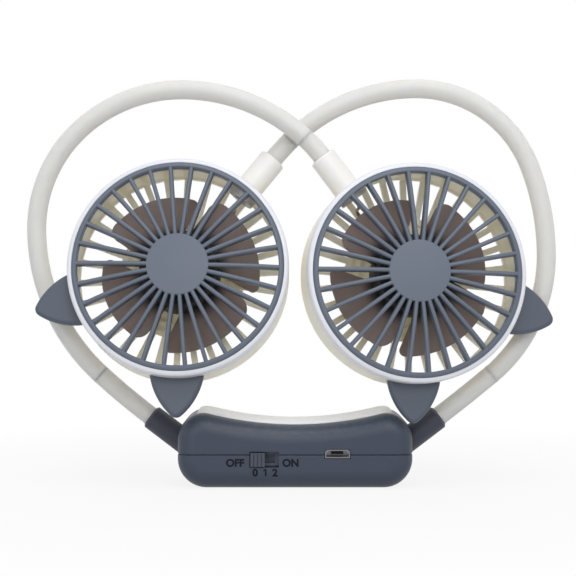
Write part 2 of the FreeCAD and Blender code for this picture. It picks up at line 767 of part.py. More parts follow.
def walk_arm(side, sign, shoulder_radius, end_radius):
    """Centre line of one arm, from inside its boot to inside the far head's collar."""
    angle = math.radians(size("boot_angle"))
    lean = math.radians(size(f"{side}_arm_lean"))
    ahead = boot_direction(sign)
    flat_left = Vector(-sign * math.sin(angle), 0, math.cos(angle))
    left = flat_left * math.cos(lean) + Vector(0, sign * math.sin(lean), 0)
    walker = Walker(boot_point(sign, "boot_length - boot_grip"), ahead, left)
    tip_turn = size(f"{side}_arm_tip_turn")
    walker.straight("root", size("boot_grip"))
    walker.bend("root", size(f"{side}_arm_root_radius"), size(f"{side}_arm_root_turn"))
    walker.bend("loop", size(f"{side}_arm_low_radius"), size(f"90 - boot_angle - {side}_arm_root_turn"))
    walker.bend("loop", size(f"{side}_arm_side_radius"), size(f"{side}_arm_side_turn"))
    walker.bend("loop", shoulder_radius, size(f"90 - {side}_arm_side_turn"))
    walker.bend("loop", end_radius, size(f"{side}_arm_end_turn") - tip_turn)
    forward = walker.ahead.cross(walker.left) * sign
    bend = size(f"{far_side(side)}_head_bend")
    turn = math.hypot(tip_turn, bend)
    towards = (walker.left * tip_turn + forward * bend).normalize()
    walker.bend("tip", size("arm_tip_length") / math.radians(turn), turn, towards)
    walker.mouth, walker.into_head = walker.point, walker.ahead
    walker.straight("tip", size("collar_grip"))
    return walker


def reaching_arm(side, sign):
    """Centre line of one arm, its crown's two arcs sized so that the head's centre lands in its place."""
    far = far_side(side)
    trial = size("trial_radius")

    def centre(shoulder_radius, end_radius):
        return head_place(walk_arm(side, sign, shoulder_radius, end_radius), far).Base

    start = centre(0, 0)
    by_shoulder = (centre(trial, 0) - start) / trial
    by_end = (centre(0, trial) - start) / trial
    gap_x = -sign * size(f"{HALF} + {far}_head_set_out") - start.x
    gap_z = size(f"{far}_head_height") - start.z
    spread_area = by_shoulder.x * by_end.z - by_shoulder.z * by_end.x
    shoulder_radius = (gap_x * by_end.z - gap_z * by_end.x) / spread_area
    end_radius = (by_shoulder.x * gap_z - by_shoulder.z * gap_x) / spread_area
    print(f"{side} arm: shoulder radius {shoulder_radius:.3f}, end radius {end_radius:.3f}")
    return walk_arm(side, sign, shoulder_radius, end_radius)


def lengthened(edges, reach):
    """The same path with a straight run added at both ends."""
    first, last = edges[0], edges[-1]
    start, end = first.valueAt(first.FirstParameter), last.valueAt(last.LastParameter)
    before = start - first.tangentAt(first.FirstParameter) * reach
    after = end + last.tangentAt(last.LastParameter) * reach
    return [Part.LineSegment(before, start).toShape(), *edges, Part.LineSegment(end, after).toShape()]


def tube(edges, radius, hole=None):
    """Round tube, or rod, along connected edges."""
    start = edges[0].valueAt(edges[0].FirstParameter)
    along = edges[0].tangentAt(edges[0].FirstParameter)

    def swept(section_radius):
        section = Part.Wire(Part.Circle(start, along, section_radius).toShape())
        return Part.Wire(edges).makePipeShell([section], True, False)

    return swept(radius).cut(swept(hole)) if hole else swept(radius)


def solid_node(name, shape):
    """Keep a swept solid as a node."""
    item = doc.addObject("Part::Feature", name)
    item.Shape = shape
    return keep(name, item)


def make_arm(side, walker):
    """Silicone sleeve in three stretches, the bendable core inside it and the leads inside that."""
    for stretch in ("root", "loop", "tip"):
        shape = tube(walker.edges(stretch), size("sleeve_radius"), size("sleeve_bore"))
        solid_node(f"{side}_sleeve_{stretch}", shape)
    whole = walker.edges("root", "loop", "tip")
    core = tube(lengthened(whole, size("core_reach")), size("core_radius"), size("core_bore"))
    solid_node(f"{side}_gooseneck", core)
    solid_node(f"{side}_arm_leads", tube(lengthened(whole, size("lead_reach")), size("lead_radius")))


# Heads

INNER = "(head_radius - head_wall)"
REAR_FLAT = "(head_radius - head_shoulder)"
FLOOR_Z = "(head_wall - head_back)"


def head_place(walker, side):
    """Placement of the head that an arm carries."""
    into = walker.into_head
    front = Vector(0, -1, 0)
    front = (front - into * front.dot(into)).normalize()
    across = into.cross(front)
    across = across if across.z > 0 else across * -1
    swivel = math.radians(size(f"{side}_head_swivel"))
    facing = front * math.cos(swivel) + across * math.sin(swivel)
    up = into * -1
    right = up.cross(facing)
    centre = walker.mouth + into * size("collar_reach") + facing * size("collar_depth")
    return Placement(FreeCAD.Matrix(right.x, up.x, facing.x, centre.x, right.y, up.y, facing.y, centre.y,
                                    right.z, up.z, facing.z, centre.z, 0, 0, 0, 1))


def turned(place, angle):
    """A head's placement turned about the head's axis."""
    return place.multiply(Placement(Vector(), Rotation(Vector(0, 0, 1), angle)))


def slot(inner, outer, count, bar):
    """Corners of one radial slot along +Y between bars of even width."""
    half_pitch = f"tan(180 / {count})"
    inner_half = f"(({inner}) * {half_pitch} - {bar} / 2)"
    outer_half = f"(({outer}) * {half_pitch} - {bar} / 2)"
    return [(f"-{inner_half}", inner), (inner_half, inner), (outer_half, outer), (f"-{outer_half}", outer)]


def make_bezel(side, place):
    """White front ring with the grille's seat and a lip that snaps into the rear housing."""
    body = new_body(f"{side}_bezel", place)
    lip_out, lip_in = f"{INNER} - housing_fit", f"{INNER} - bezel_lip"
    seat = "(grille_seat + grille_fit)"
    revolve(body, [
        (lip_in, "-head_parting - bezel_lip_depth"), (lip_out, "-head_parting - bezel_lip_depth"),
        (lip_out, "-head_parting"), ("head_radius - bezel_groove", "-head_parting"),
        ("head_radius", "-head_parting + bezel_groove"), ("head_radius", "-bezel_round"),
        ("head_radius - bezel_round", "0", "bezel_round", 1), ("grille_radius + grille_fit", "0"),
        ("grille_radius + grille_fit", f"-{seat}"),
        ("grille_radius - grille_ring_width", f"-{seat}"),
        ("grille_radius - grille_ring_width", f"-{seat} - bezel_ledge"),
        (lip_in, f"-{seat} - 2 * bezel_ledge"),
    ])


def make_grille(side, place):
    """Domed radial grille: a flat centre disc, even spokes and a rim."""
    body = new_body(f"{side}_grille", turned(place, size(f"{side}_grille_turn")))
    rim_in = "grille_radius - grille_ring_width"
    top = "(grille_ring_height - grille_seat)"
    under = "(grille_rise - grille_thickness)"
    revolve(body, [
        ("0", under), ("grille_disc_radius", under),
        (rim_in, f"{top} - grille_thickness", "grille_curve - grille_thickness", -1),
        (rim_in, "-grille_seat"), ("grille_radius", "-grille_seat"), ("grille_radius", top), (rim_in, top),
        ("grille_disc_radius", "grille_rise", "grille_curve", 1), ("0", "grille_rise"),
    ])
    opening = new_sketch(body, "XY_Plane", "grille_rise + overrun")
    draw(opening, slot("grille_disc_radius", rim_in, "grille_spoke_count", "grille_spoke_width"))
    repeat(body, feature(body, "Pocket", opening), "grille_spoke_count")


def make_rear_housing(side, place):
    """White rear shell: wall, rounded shoulder, rear struts and the motor's cup."""
    body = new_body(f"{side}_rear_housing", place)
    cup_in = "(motor_radius + motor_fit)"
    corners = [
        ("0", "-head_back"), (REAR_FLAT, "-head_back"),
        ("head_radius", "head_shoulder - head_back", "head_shoulder", 1),
        ("head_radius", "-head_parting - bezel_groove"), ("head_radius - bezel_groove", "-head_parting"),
        (INNER, "-head_parting"), (INNER, "head_shoulder - head_back"),
        (REAR_FLAT, FLOOR_Z, "head_shoulder - head_wall", -1),
    ]
    for rib in ("rear_rib_outer", "rear_rib_inner"):
        rib_out, rib_top = f"{rib} + rear_rib_width", f"{FLOOR_Z} + rear_rib_height"
        corners += [(rib_out, FLOOR_Z), (rib_out, rib_top), (rib, rib_top), (rib, FLOOR_Z)]
    cup_out, cup_top = f"{cup_in} + motor_cup_wall", f"{FLOOR_Z} + motor_cup_height"
    corners += [(cup_out, FLOOR_Z), (cup_out, cup_top), (cup_in, cup_top), (cup_in, FLOOR_Z), ("0", FLOOR_Z)]
    revolve(body, corners)
    opening = new_sketch(body, "XY_Plane", "0", "180 / rear_strut_count")
    draw(opening, slot("rear_slot_inner", "rear_slot_outer", "rear_strut_count", "rear_strut_width"))
    repeat(body, feature(body, "Pocket", opening), "rear_strut_count")
    bore(body, Vector(0, size("rear_slot_outer"), size("-collar_depth")), Vector(0, 1, 0),
         "collar_radius + housing_fit", "collar_reach")
    for ear in ("outer", "lower"):
        for tab in (-1, 1):
            hole = body.newObject("PartDesign::SubtractiveBox", f"{body.Name}_tab_hole")
            hole.setExpression("Length", bound("ear_tab_width + 2 * housing_fit"))
            hole.setExpression("Width", bound("head_wall + 2 * overrun"))
            hole.setExpression("Height", bound("ear_tab_thickness + 2 * housing_fit"))
            corner = Vector(size(f"{tab} * ear_tab_spacing / 2 - ear_tab_width / 2 - housing_fit"),
                            size(f"{INNER} - overrun"),
                            size("-ear_front - ear_thickness / 2 - ear_tab_thickness / 2 - housing_fit"))
            hole.Placement = turned(Placement(), ear_turn(side, ear)).multiply(Placement(corner, Rotation()))


def ear_turn(side, ear):
    """Angle of an ear about its head's axis, counted from the collar."""
    way = -1 if (side == "left") == (ear == "outer") else 1
    return 180 + way * size(f"{ear}_ear_angle")


def make_ear(side, ear, place):
    """Pointed ear with convex sides, held by two tabs through the housing wall."""
    body = new_body(f"{side}_{ear}_ear", turned(place, ear_turn(side, ear)))
    outline = new_sketch(body, "XY_Plane", "-ear_front - ear_thickness")
    draw(outline, [
        ("ear_half", "ear_foot", "ear_wall", -1), ("ear_tip_x", "ear_tip_y", "ear_side_radius", 1),
        ("-ear_tip_x", "ear_tip_y", "ear_tip_radius", 1), ("-ear_half", "ear_foot", "ear_side_radius", 1),
    ])
    blade = feature(body, "Pad", outline, "ear_thickness")
    base_reach = size("ear_wall")

    def on_ear_side(edge):
        box = edge.BoundBox
        return near(box.ZMin, box.ZMax) and edge.CenterOfMass.y > base_reach

    soften(body, blade, "Fillet", "ear_edge", on_ear_side)
    tabs = new_sketch(body, "XY_Plane", "-ear_front - ear_thickness / 2 - ear_tab_thickness / 2")
    tab_middle = f"({INNER} - ear_tab_reach + head_radius) / 2"
    tab_length = f"head_radius - {INNER} + ear_tab_reach"
    for sign in (-1, 1):
        draw(tabs, rectangle(f"{sign} * ear_tab_spacing / 2", tab_middle, "ear_tab_width", tab_length))
    feature(body, "Pad", tabs, "ear_tab_thickness")


def make_collar(side, place):
    """Collar that grips the end of the arm, with a flange inside the housing wall."""
    along = Placement(Vector(0, 0, size("-collar_depth")), Rotation(Vector(0, 0, 1), Vector(0, 1, 0)))
    body = new_body(f"{side}_collar", place.multiply(along))
    grip = "(sleeve_radius + sleeve_fit)"
    flange = f"(sqrt({INNER} ^ 2 - collar_flange_radius ^ 2) - housing_fit)"
    inner_end = f"{flange} - collar_flange"
    revolve(body, [
        ("lead_hole_radius", inner_end), ("collar_flange_radius", inner_end),
        ("collar_flange_radius", flange), ("collar_radius", flange),
        ("collar_radius", "collar_reach - collar_round"),
        ("collar_radius - collar_round", "collar_reach", "collar_round", 1), (grip, "collar_reach"),
        (grip, "collar_reach - collar_grip"), ("lead_hole_radius", "collar_reach - collar_grip"),
    ])


def blade_outline():
    """Plan of one blade: a long swept edge, an arc at the tip and one well rounded corner."""
    tip, root = size("impeller_radius"), size("hub_radius - hub_wall / 2")

    def polar(radius, angle):
        turn = math.radians(angle)
        return Vector(radius * math.cos(turn), radius * math.sin(turn), 0)

    end = size("blade_tip_angle")
    corner = size("blade_corner_angle")
    start_root = polar(root, size("blade_sweep_angle"))
    end_root = polar(root, size("blade_sweep_angle + blade_root_angle"))
    tip_start, tip_end = polar(tip, 0), polar(tip, end - corner)
    corner_end = polar(tip - size("blade_corner"), end)
    corner_middle = polar(tip - size("blade_corner") / 4, end - corner / 4)
    root_middle = polar(root, size("blade_sweep_angle + blade_root_angle / 2"))
    edges = [
        Part.LineSegment(start_root, tip_start).toShape(),
        Part.Arc(tip_start, polar(tip, (end - corner) / 2), tip_end).toShape(),
        Part.Arc(tip_end, corner_middle, corner_end).toShape(),
        Part.LineSegment(corner_end, end_root).toShape(),
        Part.Arc(end_root, root_middle, start_root).toShape(),
    ]
    return Part.Face(Part.Wire(edges))


def blade_plate():
    """Twisted plate that one blade is cut from, flatter towards the tip and rising to the rounded corner."""
    middle = math.radians(size("blade_sweep_angle + blade_root_angle") / 2)
    outward = Vector(math.cos(middle), math.sin(middle), 0)
    across = Vector(-outward.y, outward.x, 0)
    half = Vector(0, 0, size("blade_thickness") / 2)
    reach = size("impeller_radius + overrun")
    sections = []
    for along, pitch in ((0, "blade_root_pitch_angle"), (reach, "blade_tip_pitch_angle")):
        rise = Vector(0, 0, reach * math.tan(math.radians(size(pitch))))
        low = outward * along - across * reach - rise
        high = outward * along + across * reach + rise
        points = [low - half, high - half, high + half, low + half]
        sections.append(Part.makePolygon(points + points[:1]))
    return Part.makeLoft(sections, True, True)


def make_impeller(side, place):
    """Impeller: a hub cup over the motor with swept, twisted blades round it."""
    front = size("-impeller_front")
    back = front - size("hub_depth")
    outer, wall = size("hub_radius"), size("hub_wall")
    cup = Part.makeCylinder(outer, size("hub_depth"), Vector(0, 0, back))
    rim = [edge for edge in cup.Edges if near(edge.BoundBox.ZMin, front) and near(edge.BoundBox.ZMax, front)]
    cup = cup.makeFillet(size("hub_round"), rim)
    cup = cup.cut(Part.makeCylinder(outer - wall, size("hub_depth") - wall, Vector(0, 0, back)))
    boss = Part.makeCylinder(size("hub_boss_radius"), size("hub_boss_length"), Vector(0, 0, front - wall / 2),
                             Vector(0, 0, -1))
    hub = cup.fuse(boss)
    hub = hub.cut(Part.makeCylinder(size("shaft_radius + shaft_press_fit"), size("hub_depth"),
                                    Vector(0, 0, front - wall / 2), Vector(0, 0, -1)))
    prism = blade_outline().extrude(Vector(0, 0, size("head_back")))
    prism.translate(Vector(0, 0, size("-head_back / 2")))
    point = Vector(size("impeller_radius"), 0, 0)
    pointed = [edge for edge in prism.Edges if near(edge.CenterOfMass.distanceToPoint(point), 0)]
    prism = prism.makeFillet(size("blade_point_round"), pointed)
    blade = prism.common(blade_plate())
    blade.translate(Vector(0, 0, size("-blade_middle")))
    count = int(size("blade_count"))
    blades = []
    for index in range(count):
        copy = blade.copy()
        copy.rotate(Vector(), Vector(0, 0, 1), 360 * index / count)
        blades.append(copy)
    item = solid_node(f"{side}_impeller", hub.fuse(blades))
    item.Placement = turned(place, size(f"{side}_impeller_turn"))


def make_motor(side, place):
    """Small motor in the housing's cup: can, end bell, bearing bush, shaft and leads."""
    back = f"({FLOOR_Z} + housing_fit)"
    bell = new_body(f"{side}_motor_end_bell", place)
    revolve(bell, [("0", back), ("endbell_radius", back), ("endbell_radius", f"{back} + endbell_height"),
                   ("0", f"{back} + endbell_height")])
    can = new_body(f"{side}_motor_can", place)
    rear = f"({back} + endbell_height)"
    inner = "(shaft_radius + shaft_running_fit)"
    revolve(can, [(inner, rear), ("motor_radius", rear), ("motor_radius", "-motor_front - motor_round"),
                  ("motor_radius - motor_round", "-motor_front", "motor_round", 1), (inner, "-motor_front")])
    bush = new_body(f"{side}_motor_bush", place)
    revolve(bush, [(inner, "-motor_front"), ("bush_radius", "-motor_front"),
                   ("bush_radius", "bush_height - motor_front"), (inner, "bush_height - motor_front")])
    low = Placement(Vector(0, 0, size("-motor_front - shaft_inner")), Rotation())
    length = "motor_front + shaft_inner - impeller_front - hub_wall"
    keep(f"{side}_shaft", cylinder(f"{side}_shaft", "shaft_radius", length, place.multiply(low)))
    floor = size(f"{FLOOR_Z} + rear_rib_height + motor_lead_radius + housing_fit")
    exit_y = size(f"sqrt({INNER} ^ 2 - collar_flange_radius ^ 2) - housing_fit - collar_flange")
    bend, rise = size("motor_lead_bend"), size("-collar_depth") - floor
    start = size("motor_radius + motor_fit + motor_cup_wall + housing_fit")
    walker = Walker(Vector(0, start, floor), Vector(0, 1, 0), Vector(0, 0, 1))
    walker.straight("lead", exit_y - size("motor_lead_radius") - 2 * bend - start)
    walker.bend("lead", bend, 90)
    walker.straight("lead", rise - 2 * bend)
    walker.bend("lead", bend, 90, walker.left * -1)
    walker.straight("lead", size("motor_lead_radius + motor_lead_entry"))
    item = solid_node(f"{side}_motor_leads", tube(walker.edges("lead"), size("motor_lead_radius")))
    item.Placement = place


def make_head(side, place):
    """One fan head with its ears, impeller and motor."""
    make_bezel(side, place)
    make_grille(side, place)
    make_rear_housing(side, place)
    make_collar(side, place)
    make_ear(side, "outer", place)
    make_ear(side, "lower", place)
    make_impeller(side, place)
    make_motor(side, place)


def main():
    """Build every sub-part, check it and write it out."""
    make_outer_shell()
    make_neck_side_shell()
    make_neck_pad()
    make_switch()
    make_charging_socket()
    make_board()
    make_cell()
    make_screws()
    for side, sign in (("left", -1), ("right", 1)):
        make_boot(side, sign)
        walker = reaching_arm(side, sign)
        make_arm(side, walker)
        make_head(far_side(side), head_place(walker, far_side(side)))
    doc.recompute()
    for item in doc.Objects:
        if "Invalid" in item.State or "Error" in item.State:
            raise RuntimeError(f"{item.Label} is {item.State}")
    for name, item in nodes.items():
        if item.Shape.isNull() or not item.Shape.isValid() or not item.Shape.Solids:
            raise RuntimeError(f"{name} has no valid solid")
    os.makedirs("parts", exist_ok=True)
    for name, item in nodes.items():
        item.Shape.exportStep(f"parts/{name}.step")
        print(f"{name}: {len(item.Shape.Solids)} solid(s), {item.Shape.Volume:.1f} cubic mm")


if __name__ == "__main__":
    main()
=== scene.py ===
"""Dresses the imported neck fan: finishes, arms, grilles, neck pad, lettering, studio light and camera.

Lengths are in metres and the frame is the CAD model's own: +X to the right as seen from the switch
side, +Y away from the viewer, +Z up, with the origin at the centre of the battery box's flat base.
"""
import logging
import math
from collections.abc import Callable, Sequence
from dataclasses import dataclass, field, replace
from enum import Enum

import bmesh
import bpy
from mathutils import Matrix, Vector
from mathutils.bvhtree import BVHTree


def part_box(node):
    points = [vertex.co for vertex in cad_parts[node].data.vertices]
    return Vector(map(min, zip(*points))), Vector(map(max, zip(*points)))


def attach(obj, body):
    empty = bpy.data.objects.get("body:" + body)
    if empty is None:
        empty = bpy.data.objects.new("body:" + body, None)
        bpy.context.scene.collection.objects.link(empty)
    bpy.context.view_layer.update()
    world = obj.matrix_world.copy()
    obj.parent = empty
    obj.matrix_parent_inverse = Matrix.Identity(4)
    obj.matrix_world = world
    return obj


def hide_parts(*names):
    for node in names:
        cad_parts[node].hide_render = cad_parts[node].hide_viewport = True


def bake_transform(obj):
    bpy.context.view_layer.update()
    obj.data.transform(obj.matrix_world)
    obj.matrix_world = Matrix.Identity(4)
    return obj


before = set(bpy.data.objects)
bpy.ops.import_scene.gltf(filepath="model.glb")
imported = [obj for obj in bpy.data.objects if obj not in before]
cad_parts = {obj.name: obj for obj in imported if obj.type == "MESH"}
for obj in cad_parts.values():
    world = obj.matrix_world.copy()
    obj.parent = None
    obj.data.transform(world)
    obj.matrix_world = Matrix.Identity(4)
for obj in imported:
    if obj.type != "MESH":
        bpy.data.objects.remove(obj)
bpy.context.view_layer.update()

logging.basicConfig(level=logging.INFO, format="%(name)s: %(message)s")
LOG = logging.getLogger("neck_fan")

Colour = tuple[int, int, int]
Pair = tuple[float, float]
Triple = tuple[float, float, float]
Inputs = dict[str, tuple[str, object]]
Socket = bpy.types.NodeSocket
Tree = bpy.types.NodeTree

CREASE_ANGLE = math.radians(40)
WELD_GAP = 1e-7
STATION_GAP = 1e-6
RIGHT_ANGLE = 90
NUMBER = "NodeSocketFloat"
COUNT = "NodeSocketInt"
PLACE = "NodeSocketVector"
TINT = "NodeSocketColor"
GREY = (0.5, 0.5, 0.5, 1.0)
CLOUD_DETAIL = 3.0
GRAIN_DETAIL = 1.0
DUST_RISE = (0.1, 1.0)
DUST_SPECKS = (0.45, 0.75)
DUST_SCALE = 900.0
DUST_DETAIL = 4.0
LINE_STRETCH = (0.06, 1.0, 1.0)
SHEEN_WEIGHT = 0.15
SHEEN_ROUGHNESS = 0.5
INWARD_REACH = (1.0, 0.9, 0.75)


class Side(Enum):
    """Side of the box that an arm leaves, with the sign of its X."""

    LEFT = -1
    RIGHT = 1

    @property
    def word(self) -> str:
        """Name used in the frame's nodes and bodies."""
        return self.name.lower()

    @property
    def far(self) -> "Side":
        """The other side, where this side's arm carries its head."""
        return Side(-self.value)


class Surface(Enum):
    """How a finish answers light."""

    PLASTIC = "plastic"
    SILICONE = "silicone"
    METAL = "metal"


def display_colour(colour: Colour) -> tuple[float, float, float, float]:
    """Turn an 8-bit display colour into a scene-linear one.

    Args:
        colour: Red, green and blue from 0 to 255.

    Returns:
        Linear red, green and blue, with full alpha.
    """
    def channel(value: int) -> float:
        """Linear value of one 8-bit channel."""
        share = value / 255
        return share / 12.92 if share <= 0.04045 else ((share + 0.055) / 1.055) ** 2.4

    return (*(channel(value) for value in colour), 1.0)


class Wiring:
    """Adds nodes to a tree and joins their sockets."""

    # Positions of the share, the two colours and the mixed colour among the mix node's sockets
    MIX_INPUTS = (0, 6, 7)
    MIX_OUTPUT = 2

    def __init__(self, tree: Tree) -> None:
        """Keep the tree and start it empty."""
        self.tree = tree
        tree.nodes.clear()

    def feed(self, socket: Socket, value: object) -> None:
        """Give an input socket its value.

        Args:
            socket: The input socket.
            value: A plain value, or a socket to join.
        """
        if isinstance(value, Socket):
            self.tree.links.new(value, socket)
        else:
            socket.default_value = value

    def add(self, kind: str, settings: dict | None = None, **inputs: object) -> bpy.types.Node:
        """Add one node.

        Args:
            kind: Blender's type name of the node.
            settings: The node's own properties.
            inputs: Input sockets by name, spaces as underscores: a value, or a socket to join.

        Returns:
            The new node.
        """
        node = self.tree.nodes.new(kind)
        for name, value in (settings or {}).items():
            setattr(node, name, value)
        for name, value in inputs.items():
            self.feed(node.inputs[name.replace("_", " ")], value)
        return node

    def group(self, tree: Tree, **inputs: object) -> bpy.types.bpy_prop_collection:
        """Add a shader group with its inputs and return its outputs."""
        return self.add("ShaderNodeGroup", {"node_tree": tree}, **inputs).outputs

    def place(self) -> Socket:
        """Add the place on the piece, which is its place in the frame, and return it."""
        return self.add("ShaderNodeTexCoord").outputs["Object"]

    def math(self, operation: str, first: object, second: object = 0.0) -> Socket:
        """Add a math node.

        Args:
            operation: Blender's name of the operation.
            first: First value or socket.
            second: Second value or socket.

        Returns:
            The result.
        """
        node = self.add("ShaderNodeMath", {"operation": operation})
        for socket, value in zip(node.inputs, (first, second)):
            self.feed(socket, value)
        return node.outputs[0]

    def span(self, value: Socket, source: tuple = (0.0, 1.0), target: tuple = (0.0, 1.0),
             curve: str = "LINEAR") -> Socket:
        """Map a value from one range to another.

        Args:
            value: The value.
            source: Ends of the range that it comes from, as values or sockets.
            target: Ends of the range that it goes to, as values or sockets.
            curve: Blender's name of the curve between the ends.

        Returns:
            The mapped value.
        """
        node = self.add("ShaderNodeMapRange", {"interpolation_type": curve}, Value=value, From_Min=source[0],
                        From_Max=source[1], To_Min=target[0], To_Max=target[1])
        return node.outputs[0]

    def noise(self, place: Socket, scale: object, detail: float = 2.0) -> Socket:
        """Add a noise texture on a place vector and return its factor."""
        return self.add("ShaderNodeTexNoise", Vector=place, Scale=scale, Detail=detail).outputs[0]

    def mix(self, share: object, first: object, second: object) -> Socket:
        """Mix two colours.

        Args:
            share: Share of the second colour.
            first: First colour.
            second: Second colour.

        Returns:
            The mixed colour.
        """
        node = self.add("ShaderNodeMix", {"data_type": "RGBA"})
        for index, value in zip(self.MIX_INPUTS, (share, first, second)):
            self.feed(node.inputs[index], value)
        return node.outputs[self.MIX_OUTPUT]


def open_tree(name: str, kind: str, inputs: Inputs, outputs: dict[str, str]) -> tuple[Wiring, dict, dict]:
    """Start a node tree with named sockets.

    Args:
        name: Name of the tree.
        kind: Blender's type name of the tree.
        inputs: Socket type and default of each input, by name; a default of None is left alone.
        outputs: Socket type of each output, by name.

    Returns:
        The wiring, the inputs' sockets and the outputs' sockets by name.
    """
    tree = bpy.data.node_groups.new(name, kind)
    wiring = Wiring(tree)
    for label, (socket_type, value) in inputs.items():
        socket = tree.interface.new_socket(label, in_out="INPUT", socket_type=socket_type)
        if value is not None:
            socket.default_value = value
    for label, socket_type in outputs.items():
        tree.interface.new_socket(label, in_out="OUTPUT", socket_type=socket_type)
    given = {socket.name: socket for socket in wiring.add("NodeGroupInput").outputs}
    out = {socket.name: socket for socket in wiring.add("NodeGroupOutput").inputs}
    return wiring, given, out


def shader_group(name: str, inputs: Inputs, outputs: dict[str, str],
                 fill: Callable[[Wiring, dict, dict], None]) -> Tree:
    """Build a shader node group once, or return the one that exists.

    Args:
        name: Name of the group.
        inputs: Socket type and default of each input, by name.
        outputs: Socket type of each output, by name.
        fill: Adds the nodes, given the wiring, the inputs' sockets and the outputs' sockets.

    Returns:
        The group's node tree.
    """
    if name not in bpy.data.node_groups:
        fill(*open_tree(name, "ShaderNodeTree", inputs, outputs))
    return bpy.data.node_groups[name]


def moulded_skin() -> Tree:
    """Group for moulded surfaces: cloudy colour, uneven gloss and a fine spark-eroded grain."""
    def fill(wiring: Wiring, given: dict, out: dict) -> None:
        """Join the noises to the outputs."""
        place = wiring.place()
        cloud = wiring.noise(place, given["Cloud Scale"], CLOUD_DETAIL)
        share = wiring.math("MULTIPLY", cloud, given["Mottle"])
        wiring.feed(out["Colour"], wiring.mix(share, given["Colour"], given["Shade"]))
        wiring.feed(out["Roughness"], wiring.span(cloud, target=(given["Rough Low"], given["Rough High"])))
        wiring.feed(out["Height"], wiring.noise(place, given["Grain Scale"], GRAIN_DETAIL))

    return shader_group("moulded_skin", {
        "Colour": (TINT, GREY), "Shade": (TINT, GREY), "Mottle": (NUMBER, 0.5), "Cloud Scale": (NUMBER, 60.0),
        "Grain Scale": (NUMBER, 2500.0), "Rough Low": (NUMBER, 0.4), "Rough High": (NUMBER, 0.5),
    }, {"Colour": TINT, "Roughness": NUMBER, "Height": NUMBER}, fill)


def settled_dust() -> Tree:
    """Group for the faint pale dust that settles on faces that look up."""
    def fill(wiring: Wiring, given: dict, out: dict) -> None:
        """Mask by the normal's rise and by fine noise."""
        normal = wiring.add("ShaderNodeNewGeometry").outputs["Normal"]
        rise = wiring.add("ShaderNodeSeparateXYZ", Vector=normal).outputs["Z"]
        lifted = wiring.span(rise, DUST_RISE)
        specks = wiring.span(wiring.noise(wiring.place(), DUST_SCALE, DUST_DETAIL), DUST_SPECKS)
        mask = wiring.math("MULTIPLY", wiring.math("MULTIPLY", lifted, specks), given["Amount"])
        wiring.feed(out["Colour"], wiring.mix(mask, given["Colour"], given["Dust"]))

    return shader_group("settled_dust", {
        "Colour": (TINT, GREY), "Dust": (TINT, (0.7, 0.69, 0.66, 1.0)), "Amount": (NUMBER, 0.05),
    }, {"Colour": TINT}, fill)


def dark_core() -> Tree:
    """Group for painted shade: the colour darkens towards a point, for the shade behind the grille's disc."""
    def fill(wiring: Wiring, given: dict, out: dict) -> None:
        """Mix by the distance from the point."""
        # Painted shade: darker the nearer the place is to the point.
        reach = wiring.add("ShaderNodeVectorMath", {"operation": "DISTANCE"})
        for socket, value in zip(reach.inputs, (wiring.place(), given["Centre"])):
            wiring.feed(socket, value)
        away = wiring.span(reach.outputs["Value"], (given["Near"], given["Far"]), curve="SMOOTHSTEP")
        wiring.feed(out["Colour"], wiring.mix(away, given["Core"], given["Colour"]))

    return shader_group("dark_core", {
        "Colour": (TINT, GREY), "Core": (TINT, GREY), "Centre": (PLACE, (0.0, 0.0, 0.0)),
        "Near": (NUMBER, 0.01), "Far": (NUMBER, 0.015),
    }, {"Colour": TINT}, fill)


def drawn_metal() -> Tree:
    """Group for drawn metal: fine lines along X with uneven gloss."""
    def fill(wiring: Wiring, given: dict, out: dict) -> None:
        """Stretch a noise along X and feed it to gloss and relief."""
        along = wiring.add("ShaderNodeMapping", Vector=wiring.place(), Scale=LINE_STRETCH)
        lines = wiring.noise(along.outputs[0], given["Line Scale"])
        wiring.feed(out["Roughness"], wiring.span(lines, target=(given["Rough Low"], given["Rough High"])))
        wiring.feed(out["Height"], lines)

    return shader_group("drawn_metal", {
        "Line Scale": (NUMBER, 6000.0), "Rough Low": (NUMBER, 0.2), "Rough High": (NUMBER, 0.4),
    }, {"Roughness": NUMBER, "Height": NUMBER}, fill)


